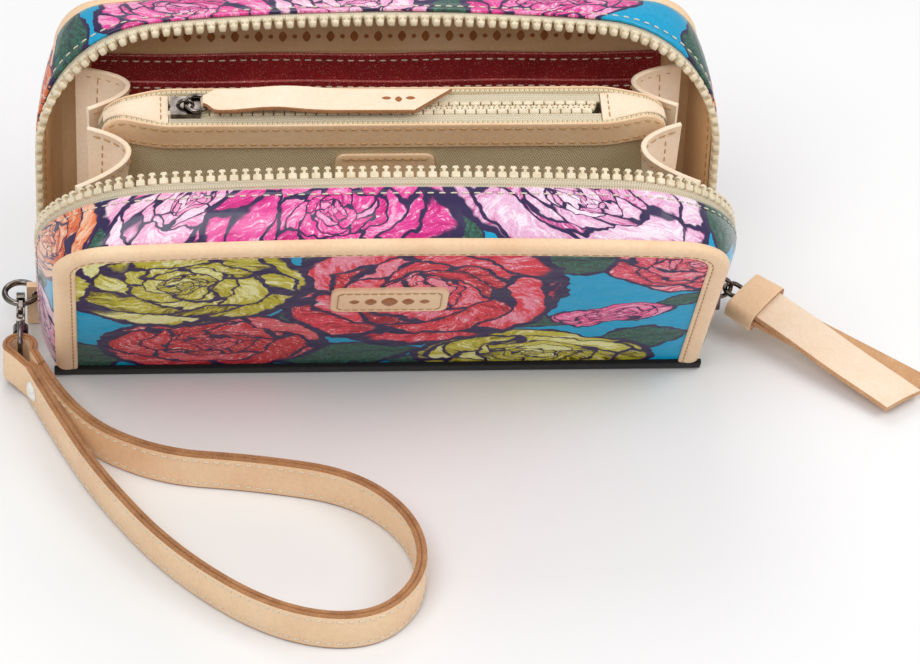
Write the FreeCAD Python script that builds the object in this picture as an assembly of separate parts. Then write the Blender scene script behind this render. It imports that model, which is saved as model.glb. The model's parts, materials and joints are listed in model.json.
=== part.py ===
import FreeCAD, Part
import math
import os

os.makedirs("parts", exist_ok=True)
V = FreeCAD.Vector

# A zip-around wristlet wallet that stands on its spine, unzipped, with both covers swung open.
# X runs along the wallet, Y from front to back, Z up. The origin is the centre of the spine's underside.
# Each cover is drawn closed, upright with its zip edge on the plane Y = 0, and then turned open.

# covers
wallet_length = 200.0      # across the leather binding
cover_height = 103.0       # floor to the top of the panel, at its middle
half_depth = 23.3          # zip plane to the outside of a panel, closed
panel_thickness = 2.0
panel_corner = 19.0        # radius of the panel's upper corners
panel_arch = 6.0           # how much lower the top line is at the ends than in the middle
rim_flare = 6.0            # the gusset strip widens by this much each side towards the zip
rim_rise = 2.3             # and its top climbs by this much
rim_corner = 44.0
rim_arch = 8.5
rim_from_zip = 4.2         # zip plane to the strip's sewn edge
front_lean = 27.75         # how far each cover stands open, in degrees from upright
back_lean = 8.2
layer_gap = 0.2            # between layers sewn over one another on curved bands

# leather binding round each panel
binding_width = 5.8
binding_proud = 1.2
binding_edge = 1.0         # how much of the panel's edge the binding covers
binding_lift = 1.5         # the binding stops this far above the floor

# layers of a cover
strip_thickness = 1.2
tape_thickness = 0.6
tape_depth = 7.0
lining_thickness = 0.5
lining_clear = 0.4

# zip teeth
tooth_pitch = 3.4
tooth_width = 2.4
tooth_root = 1.9
tooth_thickness = 2.4
head_width = 1.2
head_reach = 1.0           # how far a head reaches past the zip plane
head_thickness = 2.0
teeth_start = 19.0         # lowest tooth, above the floor

# spine
spine_thickness = 2.0
spine_gap = 0.3

# label on the front panel
label_length = 35.0
label_height = 17.0
label_thickness = 1.2
label_level = 62.0         # height of its centre up the panel

# card slips and the leather band inside the back cover
slip_thickness = 0.8
slip_gap = 0.2
slip_drops = [21.4, 30.4, 39.4]   # cover height to the top of each slip
slip_bottom = 4.0
band_bottom_drop = 20.6    # cover height to the band's lower and upper edges
band_top_drop = 6.5

# centre coin pocket and the bellows beside it
bellows_drop = 19.0        # cover height to the top of a bellows
pocket_length = 172.0
pocket_height = cover_height - 11.0
pocket_half_top = 7.5
pocket_half_bottom = 4.0
pocket_wall = 1.2
pocket_corner = 9.0
pocket_lean = 5.0
pocket_band_height = 9.0
pocket_band_thickness = 1.0
plate_length = 30.0
plate_height = 11.0
plate_drop = 12.6          # pocket top to the top of the little leather plate

# coin zip
coin_zip_half = 65.0
coin_pitch = 3.2
coin_tooth_width = 2.1
coin_head_width = 0.9
coin_tape = 0.8
tab_length = 18.0
tab_thickness = 1.5
coin_slider_at = -60.0
coin_slider_length = 9.0
coin_pull_length = 72.0
coin_pull_width = 9.5
coin_pull_thickness = 1.6

# main slider and its folded leather pull
slider_length = 12.0
slider_width = 11.0
slider_plate = 1.4
slider_level = 11.5        # height of its middle
slider_throat = 5.2        # room between its two plates
pull_yaw = -38.5
pull_drop = 7.6
pull_length = 63.0
pull_width = 14.5
pull_layer = 2.0
pull_fan = 5.0             # each layer swings this many degrees from the middle
keeper_length = 10.0
keeper_from = 5.5          # pivot to the keeper's near edge
keeper_wall = 1.3
bail_radius = 4.0
bail_sunk = 0.2            # the bail's feet are sunk this far into the outer plate
link_half = 2.6            # half the width of the oval link
link_length = 6.0          # between the middles of its two ends
link_wire = 0.75
link_play = 0.15           # between the link's end and the bail it hangs from
knuckle_half = 1.3

# end tabs, ring and swivel clasp
tab_reach = 10.9
tab_width = 2.4
ring_radius = 5.0
ring_wire = 1.0
ring_level = 12.0
hole_clear = 0.6
clasp_drop = 9.0           # degrees below level
clasp_body = 8.0
clasp_thickness = 2.6
hook_outer = 4.0
hook_inner = 2.0
gate_thickness = 1.2
gate_clear = 0.2
eye_height = 14.6          # clear height for the strap
eye_wire = 0.8
eye_reach = 21.2           # hook's eye to the strap's post
neck_radius = 1.3
neck_bore = 1.36

# wrist strap, standing on its edge
strap_width = 12.5
strap_thickness = 3.2
strap_lift = 0.2
strap_gap = 0.2            # between its two branches where they lie together
loop_lift = 3.1
loop_thickness = 2.4
loop_slack = 1.2           # the loop's middle lies this far beyond the post
rivet_from_end = 6.5
loop_outer = 5.4
rivet_head = 3.2
rivet_shank = 1.2
rivet_fit = 0.05
rivet_dome = 1.3
# along X from the middle of the ring, and across
strap_route = [(2.5, -32.9), (11.8, -56.3), (24.7, -84.0), (45.7, -116.0), (74.7, -141.0),
               (102.7, -145.5), (118.7, -128.0), (117.7, -104.0), (100.7, -84.0), (70.7, -77.0),
               (40.7, -73.5), (15.4, -56.1), (6.15, -32.9)]

panel_inner = half_depth - panel_thickness
flare_run = panel_inner - rim_from_zip
tape_inset = strip_thickness + layer_gap
lining_inset = tape_inset + tape_thickness + layer_gap
tooth_inset = tape_inset + tape_thickness / 2
tooth_base = head_reach + tooth_root + 0.1


def save(name, *solids):
    shape = solids[0] if len(solids) == 1 else Part.Compound(list(solids))
    shape.exportStep("parts/" + name + ".step")
    print(name, len(solids), "solids", round(shape.Volume, 1), "mm3")


def box(x0, x1, y0, y1, z0, z1):
    return Part.makeBox(x1 - x0, y1 - y0, z1 - z0, V(x0, y0, z0))


def prism(points, direction):
    """A straight-sided solid from its corner points."""
    return Part.Face(Part.makePolygon(points + points[:1])).extrude(direction)


def outline_at(flare):
    """Half width, height, corner radius and arch of a cover's outline.

    flare is 0 at the panel and 1 at the strip's sewn edge.
    """
    return (wallet_length / 2 + flare * rim_flare, cover_height + flare * rim_rise,
            panel_corner + flare * (rim_corner - panel_corner), panel_arch + flare * (rim_arch - panel_arch))


def outline_parts(flare, inset):
    """Centres and junctions of the outline: straight side, corner arc, one wide arc over the top."""
    half, top, corner, arch = outline_at(flare)
    top_radius = (half ** 2 + arch ** 2) / (2 * arch)
    centre = top - top_radius
    corner_x = half - corner
    corner_z = centre + math.sqrt((top_radius - corner) ** 2 - corner_x ** 2)
    angle = math.atan2(corner_z - centre, corner_x)
    return half - inset, top_radius - inset, centre, corner - inset, corner_x, corner_z, angle


def outline_edges(flare, inset, bottom, y):
    """Edges up the left side, over the top and down the right side."""
    half, top_radius, centre, corner, corner_x, corner_z, angle = outline_parts(flare, inset)

    def corner_point(turn, side):
        return V(side * (corner_x + corner * math.cos(turn)), y, corner_z + corner * math.sin(turn))

    def corner_arc(side, first, last):
        return Part.Arc(corner_point(first, side), corner_point((first + last) / 2, side),
                        corner_point(last, side)).toShape()

    crown = V(0, y, centre + top_radius)
    return [Part.LineSegment(V(-half, y, bottom), corner_point(0, -1)).toShape(),
            corner_arc(-1, 0, angle),
            Part.Arc(corner_point(angle, -1), crown, corner_point(angle, 1)).toShape(),
            corner_arc(1, angle, 0),
            Part.LineSegment(corner_point(0, 1), V(half, y, bottom)).toShape()]


def ends_of(edges):
    wire = Part.Wire(edges)
    return wire.OrderedVertexes[0].Point, wire.OrderedVertexes[-1].Point


def plate_face(flare, inset, bottom, y):
    edges = outline_edges(flare, inset, bottom, y)
    first, last = ends_of(edges)
    return Part.Face(Part.Wire(edges + [Part.LineSegment(last, first).toShape()]))


def band_wire(flare, inset, thickness, bottom, y):
    outer = outline_edges(flare, inset, bottom, y)
    inner = outline_edges(flare, inset + thickness, bottom, y)
    a, b = ends_of(outer)
    c, d = ends_of(inner)
    closing = [Part.LineSegment(b, d).toShape(), Part.LineSegment(c, a).toShape()]
    return Part.Wire(outer + [closing[0]] + inner[::-1] + [closing[1]])


def flare_of(depth):
    """Flare of the strip at a distance from the zip plane."""
    return (panel_inner - depth) / flare_run


def flared_band(depth_a, depth_b, inset, thickness, bottom):
    """A U-shaped band that follows the gusset strip between two distances from the zip plane."""
    wires = [band_wire(flare_of(depth), inset, thickness, bottom, -depth) for depth in (depth_a, depth_b)]
    return Part.makeLoft(wires, True, True)


def flat_band(inset, thickness, bottom, y0, y1):
    return Part.Face(band_wire(0, inset, thickness, bottom, y0)).extrude(V(0, y1 - y0, 0))


def rounded_plate(length, height, thickness, centre_x, centre_z, y, radius):
    """A plate in the XZ plane with rounded corners, growing from y towards -Y."""
    plate = box(centre_x - length / 2, centre_x + length / 2, y - thickness, y,
                centre_z - height / 2, centre_z + height / 2)
    corners = [e for e in plate.Edges if abs(e.Vertexes[0].Y - e.Vertexes[-1].Y) > thickness / 2]
    return plate.makeFillet(radius, corners)


def rim_length():
    half, top_radius, centre, corner, corner_x, corner_z, angle = outline_parts(1, tooth_inset)
    return 2 * ((corner_z - teeth_start) + corner * angle + top_radius * (math.pi / 2 - angle))


def rim_place(distance):
    """Point and direction of travel on the zip line, from the lowest left tooth."""
    half, top_radius, centre, corner, corner_x, corner_z, angle = outline_parts(1, tooth_inset)
    whole = rim_length()
    side = -1
    if distance > whole / 2:
        side, distance = 1, whole - distance
    straight = corner_z - teeth_start
    if distance < straight:
        x, z, turn = half, teeth_start + distance, 0.0
    elif distance < straight + corner * angle:
        turn = (distance - straight) / corner
        x, z = corner_x + corner * math.cos(turn), corner_z + corner * math.sin(turn)
    else:
        turn = angle + (distance - straight - corner * angle) / top_radius
        x, z = top_radius * math.cos(turn), centre + top_radius * math.sin(turn)
    return side * x, z, side * math.degrees(turn)


def tooth(x, z, turn):
    """One moulded tooth: a block astride the tape's edge and a narrower head."""
    block = box(-tooth_thickness / 2, tooth_thickness / 2, -tooth_base, -tooth_base + tooth_root,
                -tooth_width / 2, tooth_width / 2)
    head = box(-head_thickness / 2, head_thickness / 2, -tooth_base + tooth_root, head_reach,
               -head_width / 2, head_width / 2)
    shape = block.fuse(head).removeSplitter()
    shape.rotate(V(0, 0, 0), V(0, 1, 0), -turn)
    shape.translate(V(x, 0, z))
    return shape


def teeth(shift):
    count = int((rim_length() - tooth_pitch / 2) / tooth_pitch)
    margin = (rim_length() - (count - 0.5) * tooth_pitch) / 2
    return [tooth(*rim_place(margin + (i + shift) * tooth_pitch)) for i in range(count)]


def cover(side, lean, tooth_shift):
    """Every shared piece of one cover, drawn as the front one and turned or mirrored into place."""
    out = {}
    panel = plate_face(0, binding_edge, 0, -half_depth).extrude(V(0, panel_thickness, 0))
    out["panel"] = [panel]
    face = flat_band(0, binding_width, binding_lift, -half_depth - binding_proud, -half_depth)
    edge = flat_band(0, binding_edge, binding_lift, -half_depth, -panel_inner)
    out["binding"] = [face.fuse(edge).removeSplitter()]
    out["gusset_strip"] = [flared_band(panel_inner, rim_from_zip, 0, strip_thickness, binding_lift)]
    out["zip_tape"] = [flared_band(tooth_base + tape_depth, tooth_base, tape_inset, tape_thickness,
                                   teeth_start - 2 * tooth_pitch)]
    out["strip_lining"] = [flared_band(panel_inner - lining_thickness - layer_gap, rim_from_zip + 1,
                                       lining_inset, lining_thickness, spine_thickness + lining_clear)]
    lining = plate_face(0, strip_thickness + lining_clear, spine_thickness + lining_clear, -panel_inner)
    out["lining"] = [lining.extrude(V(0, lining_thickness, 0))]
    out["zip_teeth"] = teeth(tooth_shift)
    if side == "front":
        out["label"] = [rounded_plate(label_length, label_height, label_thickness, 0, label_level,
                                      -half_depth, 3.0)]
    else:
        start = panel_inner - lining_thickness - lining_clear / 2
        shape = plate_face(0, lining_inset + lining_thickness + lining_clear, 0, -start)
        for number, drop in enumerate(slip_drops, 1):
            near = start - (number - 1) * (slip_thickness + slip_gap)
            whole = shape.extrude(V(0, start, 0))
            slab = box(-wallet_length, wallet_length, -near, -near + slip_thickness, slip_bottom,
                       cover_height - drop)
            out["slip_" + str(number)] = [whole.common(slab)]
        slab = box(-wallet_length, wallet_length, -start, -start + slip_thickness,
                   cover_height - band_bottom_drop, cover_height - band_top_drop)
        out["inner_band"] = [shape.extrude(V(0, start, 0)).common(slab)]
    for name, solids in out.items():
        for solid in solids:
            solid.rotate(V(0, -half_depth, 0), V(1, 0, 0), lean)
        if side == "back":
            solids = [s.mirror(V(0, 0, 0), V(0, 1, 0)) for s in solids]
        save(side + "_" + name if "slip" not in name and name != "inner_band" else
             name.replace("slip", "card_slip"), *solids)


def make_spine():
    half = half_depth - panel_thickness - spine_gap
    save("spine", box(-wallet_length / 2 + 2, wallet_length / 2 - 2, -half, half, 0, spine_thickness))


def lean_pocket(*solids):
    for solid in solids:
        solid.rotate(V(0, 0, spine_thickness), V(1, 0, 0), pocket_lean)
    return solids


def pocket_prism():
    """The pocket's silhouette seen from the front, with its two upper corners rounded."""
    block = box(-pocket_length / 2, pocket_length / 2, -20, 20, 0, pocket_height + 5)
    block = block.common(box(-pocket_length, pocket_length, -20, 20, 0, pocket_height))
    corners = [e for e in block.Edges if abs(e.Vertexes[0].Z - pocket_height) < 0.01
               and abs(e.Vertexes[-1].Z - pocket_height) < 0.01 and abs(e.Vertexes[0].Y - e.Vertexes[-1].Y) > 1]
    return block.makeFillet(pocket_corner, corners)


def pocket_side(z):
    """Distance from the pocket's middle to the outside of its wall, at a height."""
    share = (z - spine_thickness) / (pocket_height - spine_thickness)
    return pocket_half_bottom + share * (pocket_half_top - pocket_half_bottom)


def wall_slab(side, z0, z1, inner, outer, x0, x1):
    """A slab that follows one pocket wall between two heights, inner and outer from its outer face."""
    points = [V(x0, side * (pocket_side(z) + off), z) for z, off in
              ((z0, inner), (z0, outer), (z1, outer), (z1, inner))]
    return prism(points, V(x1 - x0, 0, 0))


def make_pocket():
    floor = spine_thickness + 0.5
    half = pocket_length / 2
    silhouette = pocket_prism()
    for side, name in ((-1, "front"), (1, "back")):
        wall = wall_slab(side, floor, pocket_height, -pocket_wall, 0, -half, half).common(silhouette)
        save("coin_pocket_" + name, *lean_pocket(wall))
        edge = pocket_half_top - pocket_wall - 0.1
        tape = box(-coin_zip_half, coin_zip_half, 2.75, edge, pocket_height - 1 - coin_tape, pocket_height - 1)
        tape = tape if side == 1 else tape.mirror(V(0, 0, 0), V(0, 1, 0))
        save("coin_tape_" + name, *lean_pocket(tape))
    hem = box(-half, half, -pocket_half_bottom + pocket_wall + 0.1, pocket_half_bottom - pocket_wall - 0.1,
              spine_thickness + 0.3, floor + 1)
    save("pocket_base", *lean_pocket(hem))
    band = wall_slab(-1, pocket_height - pocket_band_height, pocket_height, 0, pocket_band_thickness,
                     -half, half).common(silhouette)
    save("coin_pocket_band", *lean_pocket(band))
    top = pocket_height - plate_drop
    plate = wall_slab(-1, top - plate_height, top, 0, pocket_band_thickness, -plate_length / 2 - 1,
                      plate_length / 2 - 1)
    save("pocket_plate", *lean_pocket(plate))


def coin_tooth(x, side):
    base = pocket_height - 1 - coin_tape / 2
    block = box(x - coin_tooth_width / 2, x + coin_tooth_width / 2, 0.95, 2.7, base - 1.1, base + 1.1)
    head = box(x - coin_head_width / 2, x + coin_head_width / 2, -0.85, 0.95, base - 0.9, base + 0.9)
    shape = block.fuse(head).removeSplitter()
    return shape if side == 1 else shape.mirror(V(0, 0, 0), V(0, 1, 0))


def make_coin_zip():
    count = int(2 * (coin_zip_half - 2) / coin_pitch)
    first = -count * coin_pitch / 2 + coin_pitch / 4
    chain = [coin_tooth(first + i * coin_pitch + side * coin_pitch / 4, side)
             for side in (-1, 1) for i in range(count)]
    save("coin_chain", *lean_pocket(*chain))
    inner = pocket_half_top - pocket_wall - 0.1
    for side, name in ((-1, "left"), (1, "right")):
        x = sorted((side * (coin_zip_half + 0.2), side * (coin_zip_half + 0.2 + tab_length)))
        tab = box(x[0], x[1], -inner, inner, pocket_height - 1 - coin_tape, pocket_height - coin_tape - 1
                  + tab_thickness)
        save("coin_tab_" + name, *lean_pocket(tab))
    make_coin_slider()


def make_coin_slider():
    chain_top = pocket_height - 1 - coin_tape / 2 + 1.1
    under = chain_top + 0.3
    top = under + 1.0
    x0, x1 = coin_slider_at - coin_slider_length / 2, coin_slider_at + coin_slider_length / 2
    plate = box(x0, x1, -3.9, 3.9, under, top)
    rails = [box(x0, x1, min(s * 3.05, s * 3.9), max(s * 3.05, s * 3.9), pocket_height - 0.7, under)
             for s in (-1, 1)]
    bail_at = coin_slider_at
    bail = Part.makeTorus(2.2, 0.6, V(bail_at, 0, top - 0.1), V(0, 1, 0))
    bail = bail.common(box(bail_at - 4, bail_at + 4, -2, 2, top - 0.1, top + 4))
    body = plate.multiFuse(rails + [bail]).removeSplitter()
    save("coin_slider", *lean_pocket(body))
    level = top + 0.85
    ring_r, wire = 3.4, 0.6
    ring = Part.makeTorus(ring_r, wire, V(bail_at + ring_r, 0, level), V(0, 0, 1))
    save("coin_pull_ring", *lean_pocket(ring))
    knuckle_x = bail_at + 2 * ring_r
    knuckle = Part.makeCylinder(2.1, 3.2, V(knuckle_x, -1.6, level), V(0, 1, 0))
    start = knuckle_x + 1.4
    end = start + coin_pull_length
    half = coin_pull_width / 2
    low = level - coin_pull_thickness / 2
    strip = prism([V(start, -1.6, low), V(start + 4, -half, low), V(end - 12, -half, low), V(end, half - 1, low),
                   V(end - 1, half, low), V(start + 4, half, low), V(start, 1.6, low)],
                  V(0, 0, coin_pull_thickness))
    bore = Part.makeCylinder(1.15, 6, V(knuckle_x, -3, level), V(0, 1, 0))
    save("coin_pull", *lean_pocket(knuckle.fuse(strip).cut(bore).removeSplitter()))


def fold(points_low, points_high, z_low, z_high, thickness):
    """A thin V-folded leather sheet, drawn at its foot and at its top and ruled between them."""
    def ring(points, z):
        (ax, ay), (bx, by), (cx, cy) = points
        push = math.copysign(thickness, ax)
        return Part.makePolygon([V(ax, ay, z), V(bx, by, z), V(cx, cy, z), V(cx + push, cy, z),
                                 V(bx + 1.4 * push, by, z), V(ax + push, ay, z), V(ax, ay, z)])
    return Part.makeLoft([ring(points_low, z_low), ring(points_high, z_high)], True, True)


def make_bellows():
    """Four half bellows close the ends of the wallet, two each side of the coin pocket."""
    z_low, z_high = 6.0, cover_height - bellows_drop
    spread = z_high / 84.0
    lean = math.radians(pocket_lean)
    for side, name in ((-1, "left"), (1, "right")):
        end = pocket_length / 2 + 0.6
        for face, hand, apex_y, rim_y in ((-1, "front", -22.0 * spread, -36.0 * spread),
                                            (1, "back", 11.0 * spread, 21.0 * spread)):
            clear = pocket_band_thickness + lining_clear
            top_y = face * (pocket_side(z_high) + clear) - z_high * math.sin(lean)
            foot_y = face * 4.0
            low = [(side * end, foot_y), (side * (end - 2), face * 9.0), (side * (end + 6), face * 13.5)]
            high = [(side * end, top_y), (side * (end - 9), apex_y), (side * (end + 6), rim_y)]
            save("bellows_" + hand + "_" + name, fold(low, high, z_low, z_high, 1.3))


def make_end_tabs():
    half = wallet_length / 2 - 2
    right = box(half, half + 5.2, -tab_width / 2, tab_width / 2, 0.4, slider_level - slider_length / 2 - 0.3)
    save("right_end_tab", right)
    left = box(-half - tab_reach, -half, -tab_width / 2, tab_width / 2, 0.4, ring_level + 3.4)
    x = ring_hole_x()
    hole = Part.makeCylinder(ring_wire + hole_clear, 8, V(x, -4, ring_level), V(0, 1, 0))
    save("left_end_tab", left.cut(hole))


def ring_hole_x():
    return -(wallet_length / 2 - 2 + tab_reach - ring_wire - hole_clear - 1.6)


def make_ring():
    x = ring_hole_x() - ring_radius
    save("d_ring", Part.makeTorus(ring_radius, ring_wire, V(x, 0, ring_level), V(0, 0, 1)))


def hook_start():
    """The hook's eye centre: it hangs on the side of the ring that faces forward."""
    return V(ring_hole_x() - ring_radius, -ring_radius - hook_inner + ring_wire + 0.2, ring_level)


def place_clasp(shape):
    """Clasp pieces are drawn along -Y from the hook's eye at the origin, then dropped and moved."""
    shape.rotate(V(0, 0, 0), V(1, 0, 0), clasp_drop)
    shape.translate(hook_start())
    return shape


def capsule(radius, y0, y1, half):
    ends = [Part.makeCylinder(radius, 2 * half, V(-half, y, 0), V(1, 0, 0)) for y in (y0, y1)]
    return box(-half, half, y1, y0, -radius, radius).multiFuse(ends).removeSplitter()


def make_clasp():
    half = clasp_thickness / 2
    hook = capsule(hook_outer, 0, -clasp_body + 1.5, half).cut(capsule(hook_inner, 0, -4, 3))
    mouth = box(-3, 3, -4.3, -0.3, hook_inner - 0.9, 5)
    pivot_slot = box(-gate_thickness / 2 - gate_clear, gate_thickness / 2 + gate_clear, -8.4, -4.2, 1.5, 5)
    pin_hole = Part.makeCylinder(0.55, 6, V(-3, -6.6, 2.7), V(1, 0, 0))
    collar = Part.makeCylinder(2.4, 1.6, V(0, -10.2, 0), V(0, -1, 0))
    bore = Part.makeCylinder(neck_bore, 4, V(0, -9.2, 0), V(0, -1, 0))
    bridge = Part.makeCylinder(2.4, 1.6, V(0, -8.8, 0), V(0, -1, 0))
    body = hook.multiFuse([collar, bridge]).cut(bore).cut(mouth).cut(pivot_slot).cut(pin_hole)
    save("clasp_hook", place_clasp(body.removeSplitter()))
    arm = box(-gate_thickness / 2, gate_thickness / 2, -7.6, -0.6, 2.1, 3.3)
    thumb = Part.makeCylinder(0.9, gate_thickness, V(-gate_thickness / 2, -5.0, 3.9), V(1, 0, 0))
    gate_hole = Part.makeCylinder(0.6, 6, V(-3, -6.6, 2.7), V(1, 0, 0))
    save("clasp_gate", place_clasp(arm.fuse(thumb).cut(gate_hole).removeSplitter()))
    save("gate_pin", place_clasp(Part.makeCylinder(0.5, clasp_thickness, V(-half, -6.6, 2.7), V(1, 0, 0))))
    make_eye()


def make_eye():
    """The swivel eye: a neck that turns in the collar and a square wire loop for the strap."""
    neck = Part.makeCylinder(neck_radius, 3.0, V(0, -9.5, 0), V(0, -1, 0))
    head = Part.makeCylinder(2.0, 0.9, V(0, -12.2, 0), V(0, -1, 0))
    half = eye_height / 2 + eye_wire
    near, far = -13.1 - eye_wire, -eye_reach
    posts = [Part.makeCylinder(eye_wire, 2 * half, V(0, y, -half), V(0, 0, 1)) for y in (near, far)]
    rails = [Part.makeCylinder(eye_wire, near - far, V(0, near, z), V(0, -1, 0))
             for z in (-half + eye_wire / 2, half - eye_wire / 2)]
    knobs = [Part.makeSphere(eye_wire * 1.2, V(0, y, z)) for y in (near, far)
             for z in (-half + eye_wire / 2, half - eye_wire / 2)]
    loop = posts[0].multiFuse([posts[1]] + rails + knobs + [head, neck]).removeSplitter()
    loop.rotate(V(0, 0, 0), V(1, 0, 0), clasp_drop)
    loop.translate(hook_start())
    save("clasp_eye", loop)


def offset_route(route, shift):
    """Edges of a route of straight runs joined by tangent arcs, moved sideways by shift."""
    points = [V(x, y, 0) for x, y in route]
    runs = [(b - a).Length for a, b in zip(points, points[1:])]
    edges, radii, last = [], [], None

    def aside(at, heading):
        return at + V(-heading.y, heading.x, 0) * shift

    headings = [(b - a).normalize() for a, b in zip(points, points[1:])]
    last = aside(points[0], headings[0])
    for i in range(1, len(points) - 1):
        before, after = headings[i - 1], headings[i]
        turn = math.atan2(before.x * after.y - before.y * after.x, before.dot(after))
        reach = 0.45 * min(runs[i - 1], runs[i])
        radius = reach / math.tan(abs(turn) / 2)
        centre = points[i] - before * reach + V(-before.y, before.x, 0) * math.copysign(radius, turn)
        start = aside(points[i] - before * reach, before)
        end = aside(points[i] + after * reach, after)
        middle_heading = (before + after).normalize()
        out = V(middle_heading.y, -middle_heading.x, 0) * math.copysign(1, turn)
        middle = centre + out * (radius - math.copysign(1, turn) * shift)
        edges.append(Part.LineSegment(last, start).toShape())
        edges.append(Part.Arc(start, middle, end).toShape())
        last = end
        radii.append(round(radius, 1))
    edges.append(Part.LineSegment(last, aside(points[-1], headings[-1])).toShape())
    return edges, radii


def make_strap():
    half = strap_thickness / 2
    ring_x = hook_start().x
    route = [(ring_x + x, y) for x, y in strap_route]
    left, radii = offset_route(route, half)
    right, _ = offset_route(route, -half)
    a, b = ends_of(left)
    c, d = ends_of(right)
    caps = [Part.LineSegment(b, d).toShape(), Part.LineSegment(c, a).toShape()]
    face = Part.Face(Part.Wire(left + [caps[0]] + right[::-1] + [caps[1]]))
    face.translate(V(0, 0, strap_lift))
    strap = face.extrude(V(0, 0, strap_width))
    print("strap radii", radii, "length", round(sum(e.Length for e in offset_route(route, 0)[0]), 1))
    start = V(*route[0], 0)
    heading = (V(*route[1], 0) - start).normalize()
    across = V(-heading.y, heading.x, 0)
    level = strap_lift + strap_width / 2
    at = start + heading * rivet_from_end + across * ((strap_thickness + strap_gap) / 2) + V(0, 0, level)
    reach = strap_thickness + strap_gap / 2 + rivet_fit
    save("wrist_strap", strap.cut(Part.makeCylinder(rivet_shank + rivet_fit, 3 * reach, at - across * 1.5 * reach,
                                                    across)))
    shank = Part.makeCylinder(rivet_shank, 2 * reach, at - across * reach, across)
    heads = []
    for sign in (-1, 1):
        base = at + across * (sign * reach)
        ball_radius = (rivet_head ** 2 + rivet_dome ** 2) / (2 * rivet_dome)
        ball = Part.makeSphere(ball_radius, base - across * (sign * (ball_radius - rivet_dome)))
        heads.append(ball.common(Part.makeCylinder(rivet_head + 1, rivet_dome + 1, base, across * sign)))
    save("strap_rivet", shank.multiFuse(heads).removeSplitter())
    eye = hook_start() + V(0, -eye_reach * math.cos(math.radians(clasp_drop)), 0)
    ring = Part.makeCylinder(loop_outer, strap_width, V(eye.x, eye.y - loop_slack, loop_lift))
    ring = ring.cut(Part.makeCylinder(loop_outer - loop_thickness, strap_width + 2,
                                      V(eye.x, eye.y - loop_slack, loop_lift - 1)))
    save("strap_end_loop", ring)


def make_slider():
    """The main slider at the zip's foot: two plates either side of the tapes, joined by a post."""
    x = outline_at(1)[0] - tooth_inset
    z0, z1 = slider_level - slider_length / 2, slider_level + slider_length / 2
    gap = slider_throat / 2
    half = slider_width / 2
    outer = box(x + gap, x + gap + slider_plate, -half, half, z0, z1)
    inner = box(x - gap - slider_plate, x - gap, -half, half, z0, z1)
    corners = [[e for e in s.Edges if abs(e.Vertexes[0].X - e.Vertexes[-1].X) > slider_plate / 2]
               for s in (outer, inner)]
    outer, inner = outer.makeFillet(2.4, corners[0]), inner.makeFillet(2.4, corners[1])
    post = box(x - gap, x + gap, -0.9, 0.9, z1 - 4, z1 - 0.6)
    face = x + gap + slider_plate
    bail = Part.makeTorus(bail_radius, link_wire, V(face - bail_sunk, 0, slider_level), V(0, 1, 0))
    bail = bail.common(box(face - bail_sunk, face + 2 * bail_radius, -3, 3, z0, z1))
    save("zip_slider", outer.multiFuse([inner, post, bail]).removeSplitter())


def pull_pivot():
    face = outline_at(1)[0] - tooth_inset + slider_throat / 2 + slider_plate
    bail_crown = face - bail_sunk + bail_radius
    back = 2 * link_wire + link_play
    turn = math.radians(pull_yaw)
    return V(bail_crown - back * math.cos(turn), -back * math.sin(turn), slider_level)


def place_pull(shape):
    """Pull pieces are drawn along +X from the slider's bail, then lowered to the floor and swung forward."""
    shape.rotate(V(0, 0, 0), V(0, 1, 0), pull_drop)
    shape.rotate(V(0, 0, 0), V(0, 0, 1), pull_yaw)
    shape.translate(pull_pivot())
    return shape


def oval_link():
    """Two half rings joined by straight wires."""
    near, far = link_half, link_length - link_half
    rings = [Part.makeTorus(link_half, link_wire, V(x, 0, 0), V(0, 0, 1)) for x in (near, far)]
    rings[0] = rings[0].common(box(-9, near, -9, 9, -2, 2))
    rings[1] = rings[1].common(box(far, far + 9, -9, 9, -2, 2))
    wires = [Part.makeCylinder(link_wire, far - near, V(near, side * link_half, 0), V(1, 0, 0))
             for side in (-1, 1)]
    return rings[0].multiFuse([rings[1]] + wires).removeSplitter()


def make_pull():
    save("pull_link", place_pull(oval_link()))
    half = pull_width / 2
    start = link_length
    knuckle = Part.makeCylinder(pull_layer + 0.35, 2 * knuckle_half, V(start, -knuckle_half, 0), V(0, 1, 0))
    bore = Part.makeCylinder(link_wire + 0.6, 8, V(start, -4, 0), V(0, 1, 0))
    base = start + 1.8
    for name, sign, swing in (("upper", 1, -pull_fan), ("lower", -1, pull_fan)):
        low = 0.15 if sign == 1 else -0.15 - pull_layer
        strip = prism([V(base, -knuckle_half, low), V(base + 4, -half, low), V(base + pull_length - 3, -half, low),
                       V(base + pull_length, half, low), V(base + 4, half, low), V(base, knuckle_half, low)],
                      V(0, 0, pull_layer))
        strip.rotate(V(base + 9, 0, 0), V(0, 0, 1), swing)
        if sign == 1:
            strip = strip.fuse(knuckle).removeSplitter()
        strip = strip.cut(bore) if sign == 1 else strip.cut(
            Part.makeCylinder(pull_layer + 0.45, 20, V(start, -10, 0), V(0, 1, 0)))
        save("pull_strip_" + name, place_pull(strip))
    wide = half + 1.4
    tall = pull_layer + 0.4
    outer = box(keeper_from, keeper_from + keeper_length, -wide - keeper_wall, wide + keeper_wall,
                -tall - keeper_wall, tall + keeper_wall)
    inner = box(keeper_from - 1, keeper_from + keeper_length + 1, -wide, wide, -tall, tall)
    save("pull_keeper", place_pull(outer.cut(inner)))


cover("front", front_lean, 0.0)
cover("back", back_lean, 0.5)
make_spine()
make_pocket()
make_coin_zip()
make_bellows()
make_end_tabs()
make_ring()
make_clasp()
make_strap()
make_slider()
make_pull()
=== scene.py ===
import json
import math
import bmesh
import bpy
import numpy as np
from mathutils import Matrix, Vector

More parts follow.
